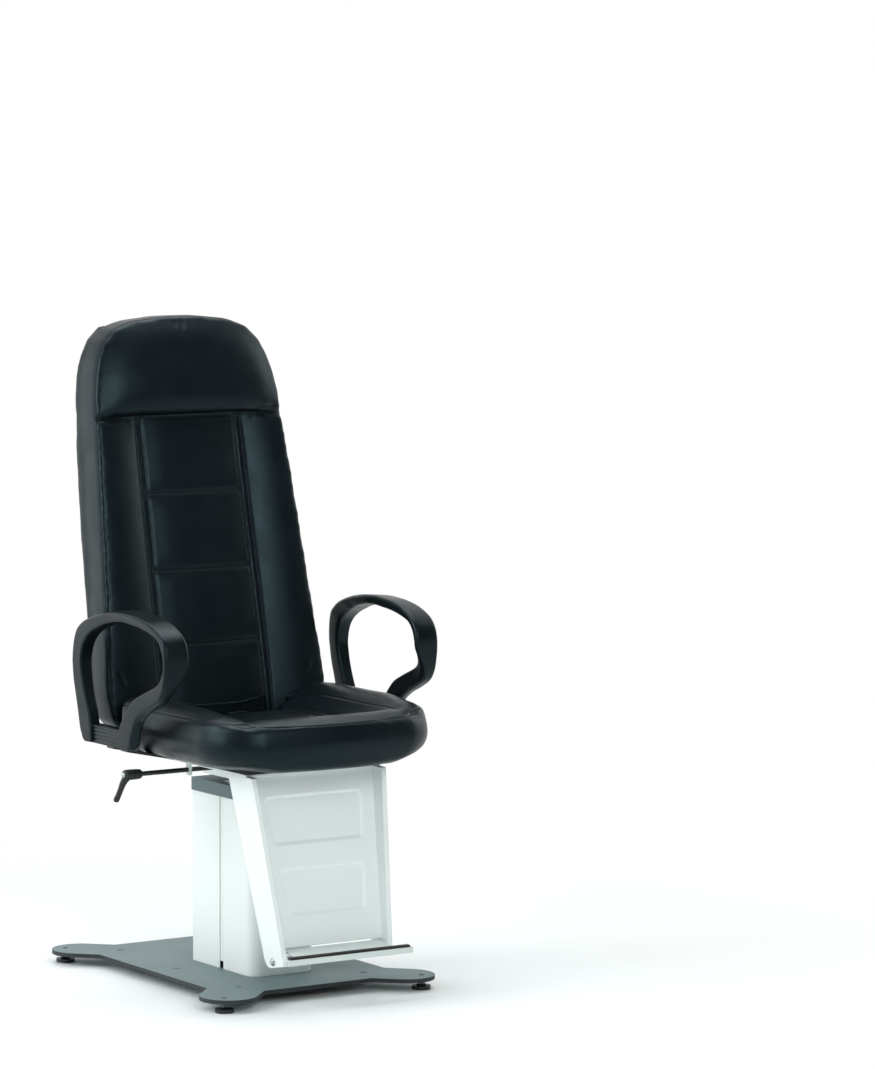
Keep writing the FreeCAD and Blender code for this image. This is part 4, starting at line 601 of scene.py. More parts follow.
armSettings = {
    "outerX": 302.0, "foot": 469.0, "radii": (4.0, 7.0, 10.0, 6.0), "steps": 5, "crown": 1.6,
    # from the rear foot over the pad to the front foot: outer y and z, inner y and z, width,
    # and how far the far edge is lifted
    "stations": (
        (128, 469.2, 99.5, 469, 24, 0), (136, 473.5, 100, 480, 24, 0),
        (141, 482, 101, 495, 24, 0), (147, 494, 103, 504, 24, 0), (154.8, 526, 111, 530, 24.5, 0),
        (162.6, 554, 123, 556, 25, 0), (170.5, 581.5, 132, 580, 26, 0),
        (174.4, 610, 138, 605, 27, 1), (174.4, 629, 139.5, 625, 28, 3),
        (168.5, 658, 133, 650, 30, 6), (158.7, 678.5, 121, 666, 32, 8),
        (147, 689, 106, 677.5, 33, 8), (131, 698.4, 90, 686, 35, 8), (108, 707, 72, 693, 38, 7),
        (84.7, 713.5, 57, 698.5, 40, 6), (61.5, 718.6, 40, 703, 43, 5),
        (30.8, 723, 20, 707, 46, 4), (0, 725.5, -5, 709.6, 49, 4), (-30, 726, -30, 710, 50, 4),
        (-60.5, 724.5, -55, 708.3, 51, 4), (-86, 721.5, -80, 706, 51, 4),
        (-113, 716.5, -105, 702, 51, 4), (-139, 708, -130, 696, 51, 3.5),
        (-158, 698, -147, 690, 51, 3.5), (-170, 687, -158, 680, 51, 3.5),
        (-177, 674, -165, 668, 51, 3.5), (-180.3, 658, -169, 657, 51, 3.5),
        (-180.5, 642, -170.6, 645, 50, 3), (-179.5, 625, -168.8, 633, 44, 2.5),
        (-177, 608, -161.4, 617.6, 37, 2), (-171, 592, -146.6, 604.8, 31, 1),
        (-158, 576, -124.3, 594.9, 27, 0), (-130, 561, -101.8, 586.8, 25, 0),
        (-100, 548, -79.3, 577.7, 24, 0), (-75.5, 533, -56.7, 566.8, 24, 0),
        (-66, 521, -41.6, 553.8, 24, 0), (-60.5, 509, -26.4, 537, 24, 0),
        (-55.8, 498, -11.2, 518.3, 24, 0), (-52, 486, -3.6, 503, 24, 0),
        (-49, 476, -2.5, 488, 24, 0), (-41, 469.2, -1.8, 469, 24, 0)),
    "linkTop": 504.0, "linkInset": 5.0, "linkWidth": 21.0, "linkFrom": -12.0, "linkTo": 112.0,
    "grooves": (0.22, 0.42, 0.62, 0.82), "grooveDepth": 1.3,
}


def makeArm(side):
    a = armSettings
    rings = []
    for outerY, outerZ, innerY, innerZ, width, lift in curveThrough(a["stations"], a["steps"]):
        inner = np.array([innerY, innerZ])
        across = np.array([outerY, outerZ]) - inner
        thick = float(np.linalg.norm(across))
        corners = ((0, 0), (0, thick), (width, thick + lift), (width, lift / 2))
        radii = [min(r, 0.44 * thick, 0.44 * width) for r in a["radii"]]
        flat = roundedRing(corners, radii, 7)
        middle = np.clip(1 - (2 * flat[:, 0] / width - 1) ** 2, 0, 1)
        flat[:, 1] += a["crown"] * middle * blendShare(0.6, 0.95, flat[:, 1] / thick)
        ring = np.column_stack([a["outerX"] - flat[:, 0], inner + across * (flat[:, 1:] / thick)])
        ring[:, 2] = np.maximum(ring[:, 2], a["foot"])
        ring[:, 0] *= side
        rings.append(toFrame(ring))
    name = "armLoopLeft" if side > 0 else "armLoopRight"
    piece = ringMesh(name, rings)
    addSubdivision(piece)
    applyModifiers(piece)
    # the link between the feet is a separate extrusion with fine grooves along it
    foot, top = a["foot"], a["linkTop"]
    outer = a["outerX"] - a["linkInset"]
    inner = outer - a["linkWidth"]
    deep = outer - a["grooveDepth"]
    profile = [(inner, foot), (outer - 1, foot), (outer, foot + 1)]
    for share in a["grooves"]:
        z = foot + (top - foot) * share
        profile += [(outer, z - 1.5), (deep, z - 0.6), (deep, z + 0.6), (outer, z + 1.5)]
    profile += [(outer, top - 1.5), (outer - 1.5, top), (inner, top)]
    link = [toFrame([(x * side, y, z) for x, z in profile])
            for y in np.linspace(a["linkFrom"], a["linkTo"], 9)]
    joinInto(piece, [ringMesh(name + "Link", link)])
    return piece


# handle of the swivel lock, a cast lever with a round hub

handleSettings = {
    # turned parts about the rod's axis: x and radius
    "hub": ((-250, 7.6), (-251.5, 8.8), (-256, 9.6), (-264, 10.0), (-276, 10.2), (-284, 10.0),
            (-286.5, 9.2), (-287.5, 7.0)),
    "hubY": 0.0, "hubZ": 418.0, "flat": 0.8,
    # the grip's middle line and radius; it is as flat across as "flat" says
    "grip": ((-276, 0, 417, 8.4), (-283, 0, 411, 7.8), (-288.5, 1, 402, 6.8), (-291.5, 4, 391, 6.0),
             (-294, 8, 380, 5.9), (-296, 12, 371, 6.2), (-296.6, 13.2, 367.6, 5.2),
             (-296.8, 13.8, 366, 2.4)),
    "button": ((-287.2, 5.4), (-288.6, 5.4), (-289.4, 4.8), (-289.9, 3.2), (-290.1, 1.0)),
    "voxel": 0.0011,
}


def turned(name, profile, count=28):
    y, z = handleSettings["hubY"], handleSettings["hubZ"]
    angles = np.linspace(0, math.tau, count, endpoint=False)
    circle = np.stack([np.cos(angles), np.sin(angles)], 1)
    return ringMesh(name, [toFrame(np.column_stack([np.full(count, x), (y, z) + radius * circle]))
                           for x, radius in profile])


def makeHandle():
    h = handleSettings
    path = curveThrough(h["grip"], 5)
    tangent = np.gradient(path[:, :3], axis=0)
    tangent /= np.linalg.norm(tangent, axis=1)[:, None]
    across = np.cross(tangent, (0, 1, 0.2))
    across /= np.linalg.norm(across, axis=1)[:, None]
    other = np.cross(tangent, across)
    angles = np.linspace(0, math.tau, 22, endpoint=False)
    rings = []
    for row, u, v in zip(path, across, other):
        around = np.cos(angles)[:, None] * u + h["flat"] * np.sin(angles)[:, None] * v
        rings.append(toFrame(row[:3] + row[3] * around))
    piece = turned("lockHandle", h["hub"])
    joinInto(piece, [ringMesh("grip", rings)])
    voxelSkin(piece, h["voxel"], 5)
    return piece, turned("handleButton", h["button"])


# stitches along the seams of both cushions, mm: "lift" is a share of the thickness, and the other
# places are how far a row stands from its seam

stitchSettings = {
    "spacing": 5.2, "length": 3.6, "thickness": 0.9, "lift": 0.3,
    "fromEdge": 4.2, "fromPanel": 3.0, "fromCross": 4.6, "fromHead": 9.5,
}


def surfaceRow(tree, starts, ways):
    points, ups = [], []
    lift = stitchSettings["thickness"] * stitchSettings["lift"] / 1000
    for start, way in zip(starts, ways):
        hit, normal, _, _ = tree.ray_cast(Vector(start), Vector(way), 0.6)
        if hit is not None:
            points.append(np.array(hit) + np.array(normal) * lift)
            ups.append(np.array(normal))
    return points, ups


def seamRows():
    s, b, t = seatSettings, backSettings, stitchSettings
    seatTree = BVHTree.FromPolygons(*polygonsOf(seatCushion))
    backTree = BVHTree.FromPolygons(*polygonsOf(backCushion))
    rows = []

    def fromFront(x, z):
        x, z = np.broadcast_arrays(x, z)
        starts = toFrame(np.stack([x, np.full(len(x), -200), z], 1))
        rows.append(surfaceRow(backTree, starts, [(0, 1, 0)] * len(x)))

    def fromAbove(x, y):
        x, y = np.broadcast_arrays(x, y)
        starts = toFrame(np.stack([x, y, np.full(len(x), 800)], 1))
        rows.append(surfaceRow(seatTree, starts, [(0, 0, -1)] * len(x)))

    def besideSeam(piece):
        return [sign * (piece["seamGap"] + t["fromPanel"]) for sign in (1, -1)]

    line, out = backOutline(90)
    for side in (1, -1):
        starts, ways = [], []
        for (x, z), (outX, outZ) in zip(line, out):
            if z > 500:
                y = float(backFront(z)) + t["fromEdge"] + 1
                starts.append(toFrame(((x + outX * 60) * side, y, z + outZ * 60)))
                ways.append((-outX * side, 0, -outZ))
        rows.append(surfaceRow(backTree, starts, ways))
        z = np.linspace(600, b["headSeam"] - 9, 60)
        for offset in besideSeam(b):
            fromFront(side * (backPanelHalf(z) + offset), z)
    for place in b["crossSeams"]:
        fromFront(np.linspace(-100, 100, 30), place - t["fromCross"])
    fromFront(np.linspace(-198, 198, 60), b["headSeam"] - t["fromHead"])
    edge = seatEdge()
    ring = edge[edge[:, 1] < 70][:, :2]
    centre = np.array([0.0, s["middleY"]])
    ring = ring[np.argsort(np.arctan2(ring[:, 0], -(ring[:, 1] - centre[1])))]
    inward = centre - ring
    ring = ring + inward / np.linalg.norm(inward, axis=1)[:, None] * (t["fromEdge"] + 2)
    fromAbove(*ring.T)
    y = np.linspace(-255, 60, 50)
    for side in (1, -1):
        for offset in besideSeam(s):
            fromAbove(side * (s["panelHalf"] + offset), y)
    for place in s["crossSeams"][:2]:
        fromAbove(np.linspace(-102, 102, 30), place - t["fromCross"])
    return rows


def polygonsOf(piece):
    mesh = piece.data
    corners = np.empty(len(mesh.loops), np.int32)
    mesh.loops.foreach_get("vertex_index", corners)
    starts = np.empty(len(mesh.polygons), np.int32)
    mesh.polygons.foreach_get("loop_start", starts)
    faces = np.split(corners, starts[1:])
    return [tuple(p) for p in readPoints(mesh)], [tuple(int(i) for i in f) for f in faces]


def stitchTree(material):
    tree = bpy.data.node_groups.new("stitchRow", "GeometryNodeTree")
    face = tree.interface
    face.new_socket("Geometry", in_out="INPUT", socket_type="NodeSocketGeometry")
    for name in ("Spacing", "Length", "Thickness"):
        face.new_socket(name, in_out="INPUT", socket_type="NodeSocketFloat")
    face.new_socket("Geometry", in_out="OUTPUT", socket_type="NodeSocketGeometry")
    given = addNode(tree, "NodeGroupInput")
    line = addNode(tree, "GeometryNodeMeshToCurve", {"Mesh": given.outputs["Geometry"]})
    even = addNode(tree, "GeometryNodeResampleCurve",
                   {"Curve": line.outputs[0], "Length": given.outputs["Spacing"]}, mode="LENGTH")
    ball = addNode(tree, "GeometryNodeMeshUVSphere",
                   inputs={"Segments": 6, "Rings": 4, "Radius": 0.5})
    thick = given.outputs["Thickness"]
    size = addNode(tree, "ShaderNodeCombineXYZ",
                   {"X": given.outputs["Length"], "Y": thick, "Z": thick})
    along = addNode(tree, "GeometryNodeInputTangent")
    up = addNode(tree, "GeometryNodeInputNamedAttribute", data_type="FLOAT_VECTOR",
                 inputs={"Name": "up"})
    first = addNode(tree, "FunctionNodeAlignRotationToVector", {"Vector": along.outputs[0]},
                    axis="X")
    turn = addNode(tree, "FunctionNodeAlignRotationToVector",
                   {"Rotation": first.outputs[0], "Vector": up.outputs[0]},
                   axis="Z", pivot_axis="X")
    placed = addNode(tree, "GeometryNodeInstanceOnPoints",
                     {"Points": even.outputs[0], "Instance": ball.outputs[0],
                      "Rotation": turn.outputs[0], "Scale": size.outputs[0]})
    solid = addNode(tree, "GeometryNodeRealizeInstances", {"Geometry": placed.outputs[0]})
    finish = addNode(tree, "GeometryNodeSetMaterial", {"Geometry": solid.outputs[0]},
                     inputs={"Material": material})
    addNode(tree, "NodeGroupOutput", {"Geometry": finish.outputs[0]})
    return tree


def makeStitches(material):
    points, ups, edges = [], [], []
    for rowPoints, rowUps in seamRows():
        start = len(points)
        points += [tuple(p) for p in rowPoints]
        ups += rowUps
        edges += [(start + i, start + i + 1) for i in range(len(rowPoints) - 1)
                  if np.linalg.norm(rowPoints[i + 1] - rowPoints[i]) < 0.03]
    mesh = bpy.data.meshes.new("cushionStitches")
    mesh.from_pydata(points, edges, [])
    addAttribute(mesh, "up", np.array(ups))
    piece = bpy.data.objects.new("cushionStitches", mesh)
    bpy.context.scene.collection.objects.link(piece)
    tree = stitchTree(material)
    modifier = piece.modifiers.new("stitches", "NODES")
    modifier.node_group = tree
    for item in tree.interface.items_tree:
        if item.in_out == "INPUT" and item.name.lower() in stitchSettings:
            modifier[item.identifier] = stitchSettings[item.name.lower()] / 1000
    applyModifiers(piece)
    return piece


# materials

def toLinear(code):
    values = [int(code[i:i + 2], 16) / 255 for i in (1, 3, 5)]
    return [v / 12.92 if v <= 0.04045 else ((v + 0.055) / 1.055) ** 2.4 for v in values] + [1.0]


def addNode(tree, kind, links=None, **settings):
    node = tree.nodes.new(kind)
    inputs = settings.pop("inputs", {})
    for key, value in settings.items():
        setattr(node, key, value)
    for key, value in inputs.items():
        node.inputs[key].default_value = value
    for key, source in (links or {}).items():
        tree.links.new(source, node.inputs[key])
    return node


def startMaterial(name, colour, roughness, **extra):
    material = bpy.data.materials.new(name)
    material.use_nodes = True
    tree = material.node_tree
    shader = tree.nodes["Principled BSDF"]
    shader.inputs["Base Color"].default_value = toLinear(colour)
    shader.inputs["Roughness"].default_value = roughness
    for key, value in extra.items():
        shader.inputs[key].default_value = value
    return material, tree, shader, addNode(tree, "ShaderNodeTexCoord").outputs["Object"]


def varyRoughness(tree, shader, place, scale, detail, low, high):
    # skin oil and dust: the gloss comes and goes in soft clouds
    cloud = addNode(tree, "ShaderNodeTexNoise", {"Vector": place},
                    inputs={"Scale": scale, "Detail": detail})
    rough = addNode(tree, "ShaderNodeMapRange", {"Value": cloud.outputs[0]},
                    inputs={"From Min": 0.3, "From Max": 0.7, "To Min": low, "To Max": high})
    tree.links.new(rough.outputs[0], shader.inputs["Roughness"])
    return cloud.outputs[0]


def seamMask(tree, distance, offset=0.0):
    if offset:
        size = addNode(tree, "ShaderNodeMath", {0: distance}, operation="ABSOLUTE")
        distance = addNode(tree, "ShaderNodeMath", {0: size.outputs[0]}, operation="SUBTRACT",
                           inputs={1: offset}).outputs[0]
    size = addNode(tree, "ShaderNodeMath", {0: distance}, operation="ABSOLUTE")
    mask = addNode(tree, "ShaderNodeMapRange", {"Value": size.outputs[0]},
                   interpolation_type="SMOOTHSTEP",
                   inputs={"From Min": 0.0, "From Max": leatherSettings["seamWidth"],
                           "To Min": 1.0, "To Max": 0.0})
    return mask.outputs[0]


def mostOf(tree, values):
    best, *rest = values
    for value in rest:
        best = addNode(tree, "ShaderNodeMath", {0: best, 1: value}, operation="MAXIMUM").outputs[0]
    return best


leatherSettings = {
    "colour": "#080d11", "seamColour": "#030506", "roughness": 0.36, "specular": 0.3,
    "sheen": "#bce7f2", "grainMm": 1.5, "seamWidth": 1.7,
}


def makeLeather():
    # polyurethane leatherette, calendered on a grained roll: a soft sheen over a fine pebble,
    # which is drawn coarser than the real 0.6 mm so that it shows
    s = leatherSettings
    material, tree, shader, place = startMaterial(
        "polyurethaneLeatherette", s["colour"], s["roughness"],
        **{"IOR": 1.48, "Specular IOR Level": s["specular"], "Specular Tint": toLinear(s["sheen"])})
    grain = addNode(tree, "ShaderNodeTexVoronoi", {"Vector": place}, feature="DISTANCE_TO_EDGE",
                    inputs={"Scale": 1000 / s["grainMm"]})
    pebble = addNode(tree, "ShaderNodeMapRange", {"Value": grain.outputs[0]},
                     inputs={"From Min": 0.0, "From Max": 0.25})
    wave = varyRoughness(tree, shader, place, 24.0, 3.0,
                         s["roughness"] - 0.04, s["roughness"] + 0.05)
    fine = addNode(tree, "ShaderNodeBump", {"Height": pebble.outputs[0]},
                   inputs={"Strength": 0.1, "Distance": 0.0003})
    soft = addNode(tree, "ShaderNodeBump", {"Height": wave, "Normal": fine.outputs[0]},
                   inputs={"Strength": 0.14, "Distance": 0.002})
    along, across = (
        addNode(tree, "ShaderNodeSeparateXYZ",
                {0: addNode(tree, "ShaderNodeAttribute", attribute_name=name).outputs["Vector"]})
        for name in ("seams", "crossSeams"))
    masks = [seamMask(tree, along.outputs[0], seatSettings["seamGap"])]
    masks += [seamMask(tree, way) for way in (*along.outputs[1:], *across.outputs)]
    seam = mostOf(tree, masks)
    tint = addNode(tree, "ShaderNodeMix", {"Factor": seam}, data_type="RGBA",
                   inputs={6: toLinear(s["colour"]), 7: toLinear(s["seamColour"])})
    tree.links.new(tint.outputs[2], shader.inputs["Base Color"])
    cut = addNode(tree, "ShaderNodeBump", {"Height": seam, "Normal": soft.outputs[0]}, invert=True,
                  inputs={"Strength": 0.7, "Distance": 0.0012})
    tree.links.new(cut.outputs[0], shader.inputs["Normal"])
    return material


def makeGrained(name, colour, roughness, grain, strength, depth, clouds=None, **extra):
    # grain is the noise's scale and detail; clouds, where given, vary the gloss
    material, tree, shader, place = startMaterial(name, colour, roughness, **extra)
    if clouds:
        varyRoughness(tree, shader, place, *clouds)
    noise = addNode(tree, "ShaderNodeTexNoise", {"Vector": place},
                    inputs={"Scale": grain[0], "Detail": grain[1]})
    bump = addNode(tree, "ShaderNodeBump", {"Height": noise.outputs[0]},
                   inputs={"Strength": strength, "Distance": depth})
    tree.links.new(bump.outputs[0], shader.inputs["Normal"])
    return material


def makeFinish(name, colour, roughness, grainMm, relief, edgeMm, wear=0.0, worn="#ffffff", **extra):
    # the other finishes share one build: fine relief, rounded edges, faint soiling and edge wear
    material, tree, shader, place = startMaterial(name, colour, roughness, **extra)
    varyRoughness(tree, shader, place, 9.0, 4.0, roughness - 0.05, roughness + 0.05)
    grain = addNode(tree, "ShaderNodeTexNoise", {"Vector": place},
                    inputs={"Scale": 1000 / grainMm, "Detail": 2.0})
    rounded = addNode(tree, "ShaderNodeBevel", samples=6, inputs={"Radius": edgeMm / 1000})
    bump = addNode(tree, "ShaderNodeBump",
                   {"Height": grain.outputs[0], "Normal": rounded.outputs[0]},
                   inputs={"Strength": relief, "Distance": 0.0003})
    tree.links.new(bump.outputs[0], shader.inputs["Normal"])
    if wear:
        flat = addNode(tree, "ShaderNodeNewGeometry").outputs["Normal"]
        bend = addNode(tree, "ShaderNodeVectorMath", {0: rounded.outputs[0], 1: flat},
                       operation="DOT_PRODUCT")
        rim = addNode(tree, "ShaderNodeMapRange", {"Value": bend.outputs["Value"]},
                      inputs={"From Min": 0.995, "From Max": 0.88, "To Min": 0.0, "To Max": wear})
        spots = addNode(tree, "ShaderNodeMapRange", {"Value": grain.outputs[0]},
                        inputs={"From Min": 0.45, "From Max": 0.6})
        mask = addNode(tree, "ShaderNodeMath", {0: rim.outputs[0], 1: spots.outputs[0]},
                       operation="MULTIPLY")
        tint = addNode(tree, "ShaderNodeMix", {"Factor": mask.outputs[0]}, data_type="RGBA",
                       inputs={6: toLinear(colour), 7: toLinear(worn)})
        tree.links.new(tint.outputs[2], shader.inputs["Base Color"])
    return material


def paintSideShadeOnPlate(material):
    # painted shade: faces that stand upright, picked by their normal, are painted near black,
    # darker than the plate's top
    tree = material.node_tree
    shader = tree.nodes["Principled BSDF"]
    coat = shader.inputs["Base Color"].links[0].from_socket
    flat = addNode(tree, "ShaderNodeNewGeometry").outputs["Normal"]
    parts = addNode(tree, "ShaderNodeSeparateXYZ", {0: flat})
    level = addNode(tree, "ShaderNodeMath", {0: parts.outputs["Z"]}, operation="ABSOLUTE")
    face = addNode(tree, "ShaderNodeMapRange", {"Value": level.outputs[0]},
                   inputs={"From Min": 0.3, "From Max": 0.8})
    # painted shade colour for the plate's upright sides
    tint = addNode(tree, "ShaderNodeMix", {"Factor": face.outputs[0], 7: coat}, data_type="RGBA",
                   inputs={6: toLinear("#1b2326")})
    tree.links.new(tint.outputs[2], shader.inputs["Base Color"])
    return material


def makeThreadedSteel():
    # zinc-plated screw thread: the turns show as fine bright rings
    material, tree, shader, place = startMaterial("zincPlatedThread", "#a9afb1", 0.32, Metallic=1.0)
    turns = addNode(tree, "ShaderNodeTexWave", {"Vector": place}, bands_direction="Z",
                    inputs={"Scale": 100.0})
    bump = addNode(tree, "ShaderNodeBump", {"Height": turns.outputs["Fac"]},
                   inputs={"Strength": 0.9, "Distance": 0.0008})
    tree.links.new(bump.outputs[0], shader.inputs["Normal"])
    return material


materials = {
    "leatherette_black": makeLeather(),
    # integral-skin polyurethane foam, moulded: a satin, faintly pebbled skin
    "foam_skin_black": makeGrained(
        "integralSkinFoam", "#0b1013", 0.34, (800.0, 3.0), 0.25, 0.0005, (22.0, 2.0, 0.29, 0.41),
        **{"IOR": 1.49, "Specular IOR Level": 0.26, "Specular Tint": toLinear("#bfe6f0")}),
    # baked powder on pressed sheet: smooth and evenly white, with a faint orange peel
    "powder_white": makeFinish("whitePowderCoat", "#e3ebea", 0.36, 2.5, 0.12, 2.2),
    # textured powder: a fine dry grit, paler where its edges are rubbed
    "powder_anthracite": makeFinish("anthraciteTexturedPowderCoat", "#6f8183", 0.58, 0.9, 0.5, 1.0,
                                    0.35, "#9aa6a8"),
    # smooth black powder on brackets, with grey rubbed edges
    "steel_black": makeFinish("blackPowderCoat", "#1a1e21", 0.42, 2.0, 0.1, 0.6, 0.2, "#5a6062"),
    # extruded soft PVC: plain, with a dull shine
    "strip_grey": makeFinish("greyPvcStrip", "#dfe9e5", 0.45, 3.0, 0.05, 0.3),
    # electroplated zinc: bright bluish grey, softly mirrored
    "steel_zinc": makeFinish("zincPlatedSteel", "#a9b4b6", 0.32, 1.2, 0.1, 0.4, Metallic=1.0),
    # turned and milled steel, oiled: darker, with fine tool marks
    "steel_bare": makeFinish("machinedSteel", "#8f9294", 0.35, 1.0, 0.15, 0.3, Metallic=1.0),
    # sprayed enamel over a rolled can
    "motor_grey": makeFinish("paintedMotorCan", "#45494c", 0.45, 1.5, 0.2, 0.5),
    # die-cast aluminium: dull silver with the mould's fine grain
    "aluminium_cast": makeFinish("castAluminium", "#b9bbbd", 0.5, 0.8, 0.4, 0.5, Metallic=1.0),
    # turned bronze: warm and even
    "bronze": makeFinish("machinedBronze", "#b08a4a", 0.35, 1.0, 0.15, 0.3, Metallic=1.0),
    # machined acetal: off-white and waxy
    "acetal_white": makeFinish("naturalAcetal", "#dededa", 0.4, 2.0, 0.05, 0.4),
    # moulded nylon: near black, satin, with softened edges
    "plastic_black": makeFinish("mouldedBlackNylon", "#0f1316", 0.42, 1.0, 0.2, 0.8),
    # ribbed rubber: matt, a little dusty
    "rubber_black": makeFinish("ribbedBlackRubber", "#0f1112", 0.6, 1.0, 0.2, 0.3),
    # stained plywood: dry and dull
    "plywood": makeFinish("blackStainedPlywood", "#14161a", 0.6, 1.5, 0.3, 0.5),
}
# bonded polyester thread: a little lighter and duller than the cover
thread = makeGrained("bondedPolyesterThread", "#23282c", 0.55, (1600.0, 1.0), 0.3, 0.0002)
plate = makeFinish("anthraciteTexturedPlate", "#6a7c7e", 0.58, 0.9, 0.5, 1.0, 0.3, "#9aa6a8")
ownMaterials = {
    # moulded ABS: satin and a shade bluer than the plate
    "head_cap": makeFinish("anthraciteAbsCap", "#52676a", 0.5, 1.2, 0.3, 1.0),
    # the tread under the shoes: white powder coat painted greyer than the panel above it, painted
    # shade for the weaker light low down
    "tread": makeFinish("shadedWhitePowderCoat", "#cad5d3", 0.4, 2.0, 0.15, 1.2),
    # the base plate's upright sides carry painted shade
    "base_plate": paintSideShadeOnPlate(plate),
}
threadedSteel = makeThreadedSteel()
ownMaterials.update({name: threadedSteel for name in nodes if name.startswith("foot_stud")})
print("materials ready")


# pieces

seatCushion = makeSeat()
print("seat cushion", len(seatCushion.data.polygons), "faces")
backCushion = makeBack()
print("back cushion", len(backCushion.data.polygons), "faces")
stitches = makeStitches(thread)
print("stitches", len(stitches.data.polygons), "faces")
armLoops = {side: makeArm(side) for side in (1, -1)}
print("arm loops", len(armLoops[1].data.polygons), "faces each")
backShell = makeShell()
lockHandle, handleButton = makeHandle()
print("lock handle", len(lockHandle.data.polygons), "faces")

pieceTable = (  # piece, body, what it stands for, slot
    (seatCushion, "swivel", "seat_cushion", "leatherette_black"),
    (backCushion, "swivel", "back_cushion", "leatherette_black"),
    (stitches, "swivel", None, "leatherette_black"),
    (backShell, "swivel", "back_cover", "plastic_black"),
    (armLoops[1], "swivel", "armrest_left", "foam_skin_black"),
    (armLoops[-1], "swivel", "armrest_right", "foam_skin_black"),
    (lockHandle, "handle", "lever_handle", "plastic_black"),
    (handleButton, "handle", None, "steel_zinc"),
)
for piece, body, node, slot in pieceTable:
    shadeSmooth(piece)
    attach(piece, body)
    if node:
        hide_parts(node)
    if piece is not stitches:
        piece.data.materials.clear()
        piece.data.materials.append(materials[slot])
slotOf = {part["node"]: part["material_slot"] for part in frame["record"]["subparts"]}
for name, node in nodes.items():
    node.data.materials.clear()
    node.data.materials.append(ownMaterials.get(name) or materials[slotOf[name]])
print("finishes set")


# studio

studioSettings = {
    "worldStrength": 0.36, "frontShare": 0.12, "skyTint": (0.96, 1.0, 0.99, 1),
    "floorHalf": 9, "floorColour": "#eef2f2", "fadeFrom": 0.62, "fadeTo": 1.7,
}


def seenDirectly(tree):
    path = addNode(tree, "ShaderNodeLightPath")
    rays = [path.outputs[f"Is {kind} Ray"] for kind in ("Camera", "Glossy", "Transmission")]
    return mostOf(tree, rays), rays[0]


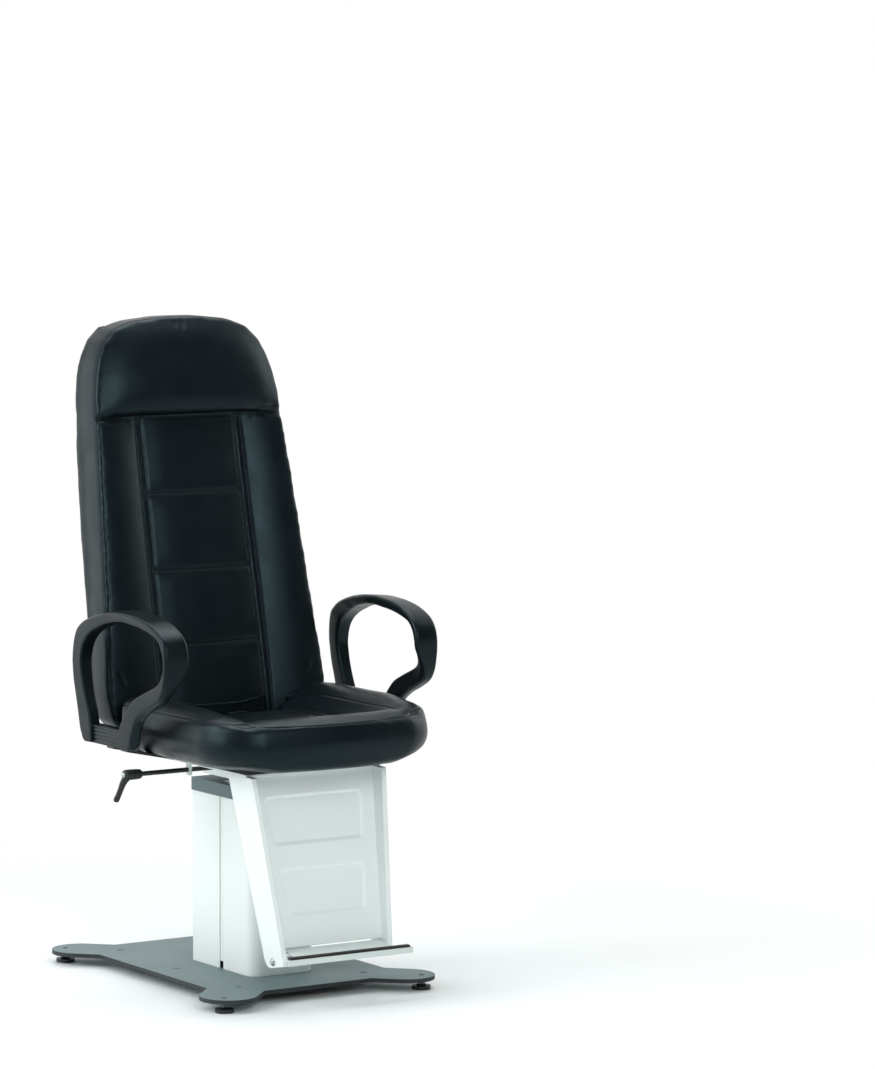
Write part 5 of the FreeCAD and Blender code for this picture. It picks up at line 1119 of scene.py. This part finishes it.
def makeStudio():
    s = studioSettings
    half = s["floorHalf"]
    corners = [(-half, -half, 0), (half, -half, 0), (half, half, 0), (-half, half, 0)]
    floor = makeMesh("studioFloor", corners, [(0, 1, 2, 3)])
    material, tree, shader, place = startMaterial("paperSweep", s["floorColour"], 0.6)
    # the paper runs out to pure white away from the chair, and keeps the chair's shadow
    away = addNode(tree, "ShaderNodeVectorMath", {0: place}, operation="LENGTH")
    fade = addNode(tree, "ShaderNodeMapRange", {"Value": away.outputs["Value"]},
                   interpolation_type="SMOOTHSTEP",
                   inputs={"From Min": s["fadeFrom"], "From Max": s["fadeTo"]})
    seen, _ = seenDirectly(tree)
    both = addNode(tree, "ShaderNodeMath", {0: fade.outputs[0], 1: seen}, operation="MULTIPLY")
    glow = addNode(tree, "ShaderNodeEmission", inputs={"Color": (1, 1, 1, 1), "Strength": 1.0})
    mix = addNode(tree, "ShaderNodeMixShader",
                  {0: both.outputs[0], 1: shader.outputs[0], 2: glow.outputs[0]})
    tree.links.new(mix.outputs[0], tree.nodes["Material Output"].inputs["Surface"])
    floor.data.materials.append(material)
    world = bpy.data.worlds.new("studioWorld")
    bpy.context.scene.world = world
    world.use_nodes = True
    tree = world.node_tree
    light = tree.nodes["Background"]
    light.inputs["Color"].default_value = s["skyTint"]
    light.inputs["Strength"].default_value = s["worldStrength"]
    # behind and beside the chair the studio is white, in front of it the room is dim
    way = addNode(tree, "ShaderNodeTexCoord").outputs["Generated"]
    parts = addNode(tree, "ShaderNodeSeparateXYZ", {0: way})
    behind = addNode(tree, "ShaderNodeMapRange", {"Value": parts.outputs["Y"]},
                     interpolation_type="SMOOTHSTEP",
                     inputs={"From Min": -0.45, "From Max": 0.25,
                             "To Min": s["frontShare"], "To Max": 1.0})
    seen, cameraRay = seenDirectly(tree)
    shown = addNode(tree, "ShaderNodeBackground",
                    {"Strength": mostOf(tree, [behind.outputs[0], cameraRay])},
                    inputs={"Color": (1, 1, 1, 1)})
    mix = addNode(tree, "ShaderNodeMixShader", {0: seen, 1: light.outputs[0], 2: shown.outputs[0]})
    tree.links.new(mix.outputs[0], tree.nodes["World Output"].inputs["Surface"])


lampTable = (  # name, place, aim, width and height, power
    ("keySoftbox", (-3.4, 0.4, 2.3), (0, 0, 0.6), (2.4, 2.6), 100),
    ("rimSoftbox", (-2.5, 3.2, 1.3), (0, 0, 0.7), (2.2, 2.4), 18),
    ("fillSoftbox", (-0.9, -4.4, 2.6), (0, 0, 0.5), (2.2, 2.0), 86),
    ("topSoftbox", (0.2, 0.5, 3.6), (0, 0, 0.4), (2.6, 2.6), 68),
    ("rightSoftbox", (3.4, -0.4, 2.2), (0, 0, 0.6), (1.6, 2.4), 26),
)


def addLamp(name, place, target, size, power):
    lamp = bpy.data.lights.new(name, "AREA")
    lamp.shape = "RECTANGLE"
    lamp.size, lamp.size_y = size
    lamp.energy = power
    piece = bpy.data.objects.new(name, lamp)
    piece.location = place
    piece.rotation_euler = (Vector(target) - Vector(place)).to_track_quat("-Z", "Y").to_euler()
    piece.visible_camera = False
    bpy.context.scene.collection.objects.link(piece)


cameraSettings = {
    "place": (-4.8758, -8.0716 + swivelY / 1000, 1.7871),
    "yaw": 33.2584, "pitch": 5.6151, "roll": 0.2048, "lens": 167.19,
}


def makeCamera():
    s = cameraSettings
    camera = bpy.data.cameras.new("camera")
    camera.lens = s["lens"]
    camera.clip_end = 60
    piece = bpy.data.objects.new("camera", camera)
    piece.location = s["place"]
    yaw, pitch, roll = (math.radians(s[key]) for key in ("yaw", "pitch", "roll"))
    forward = Vector((math.sin(yaw) * math.cos(pitch), math.cos(yaw) * math.cos(pitch),
                      -math.sin(pitch)))
    turn = forward.to_track_quat("-Z", "Y").to_matrix()
    axis = turn @ Vector((0, 0, 1))
    piece.rotation_euler = (Matrix.Rotation(roll, 3, axis) @ turn).to_euler()
    bpy.context.scene.collection.objects.link(piece)
    bpy.context.scene.camera = piece


makeStudio()
for row in lampTable:
    addLamp(*row)
makeCamera()
bpy.context.scene.view_settings.view_transform = "Standard"
print("studio ready")
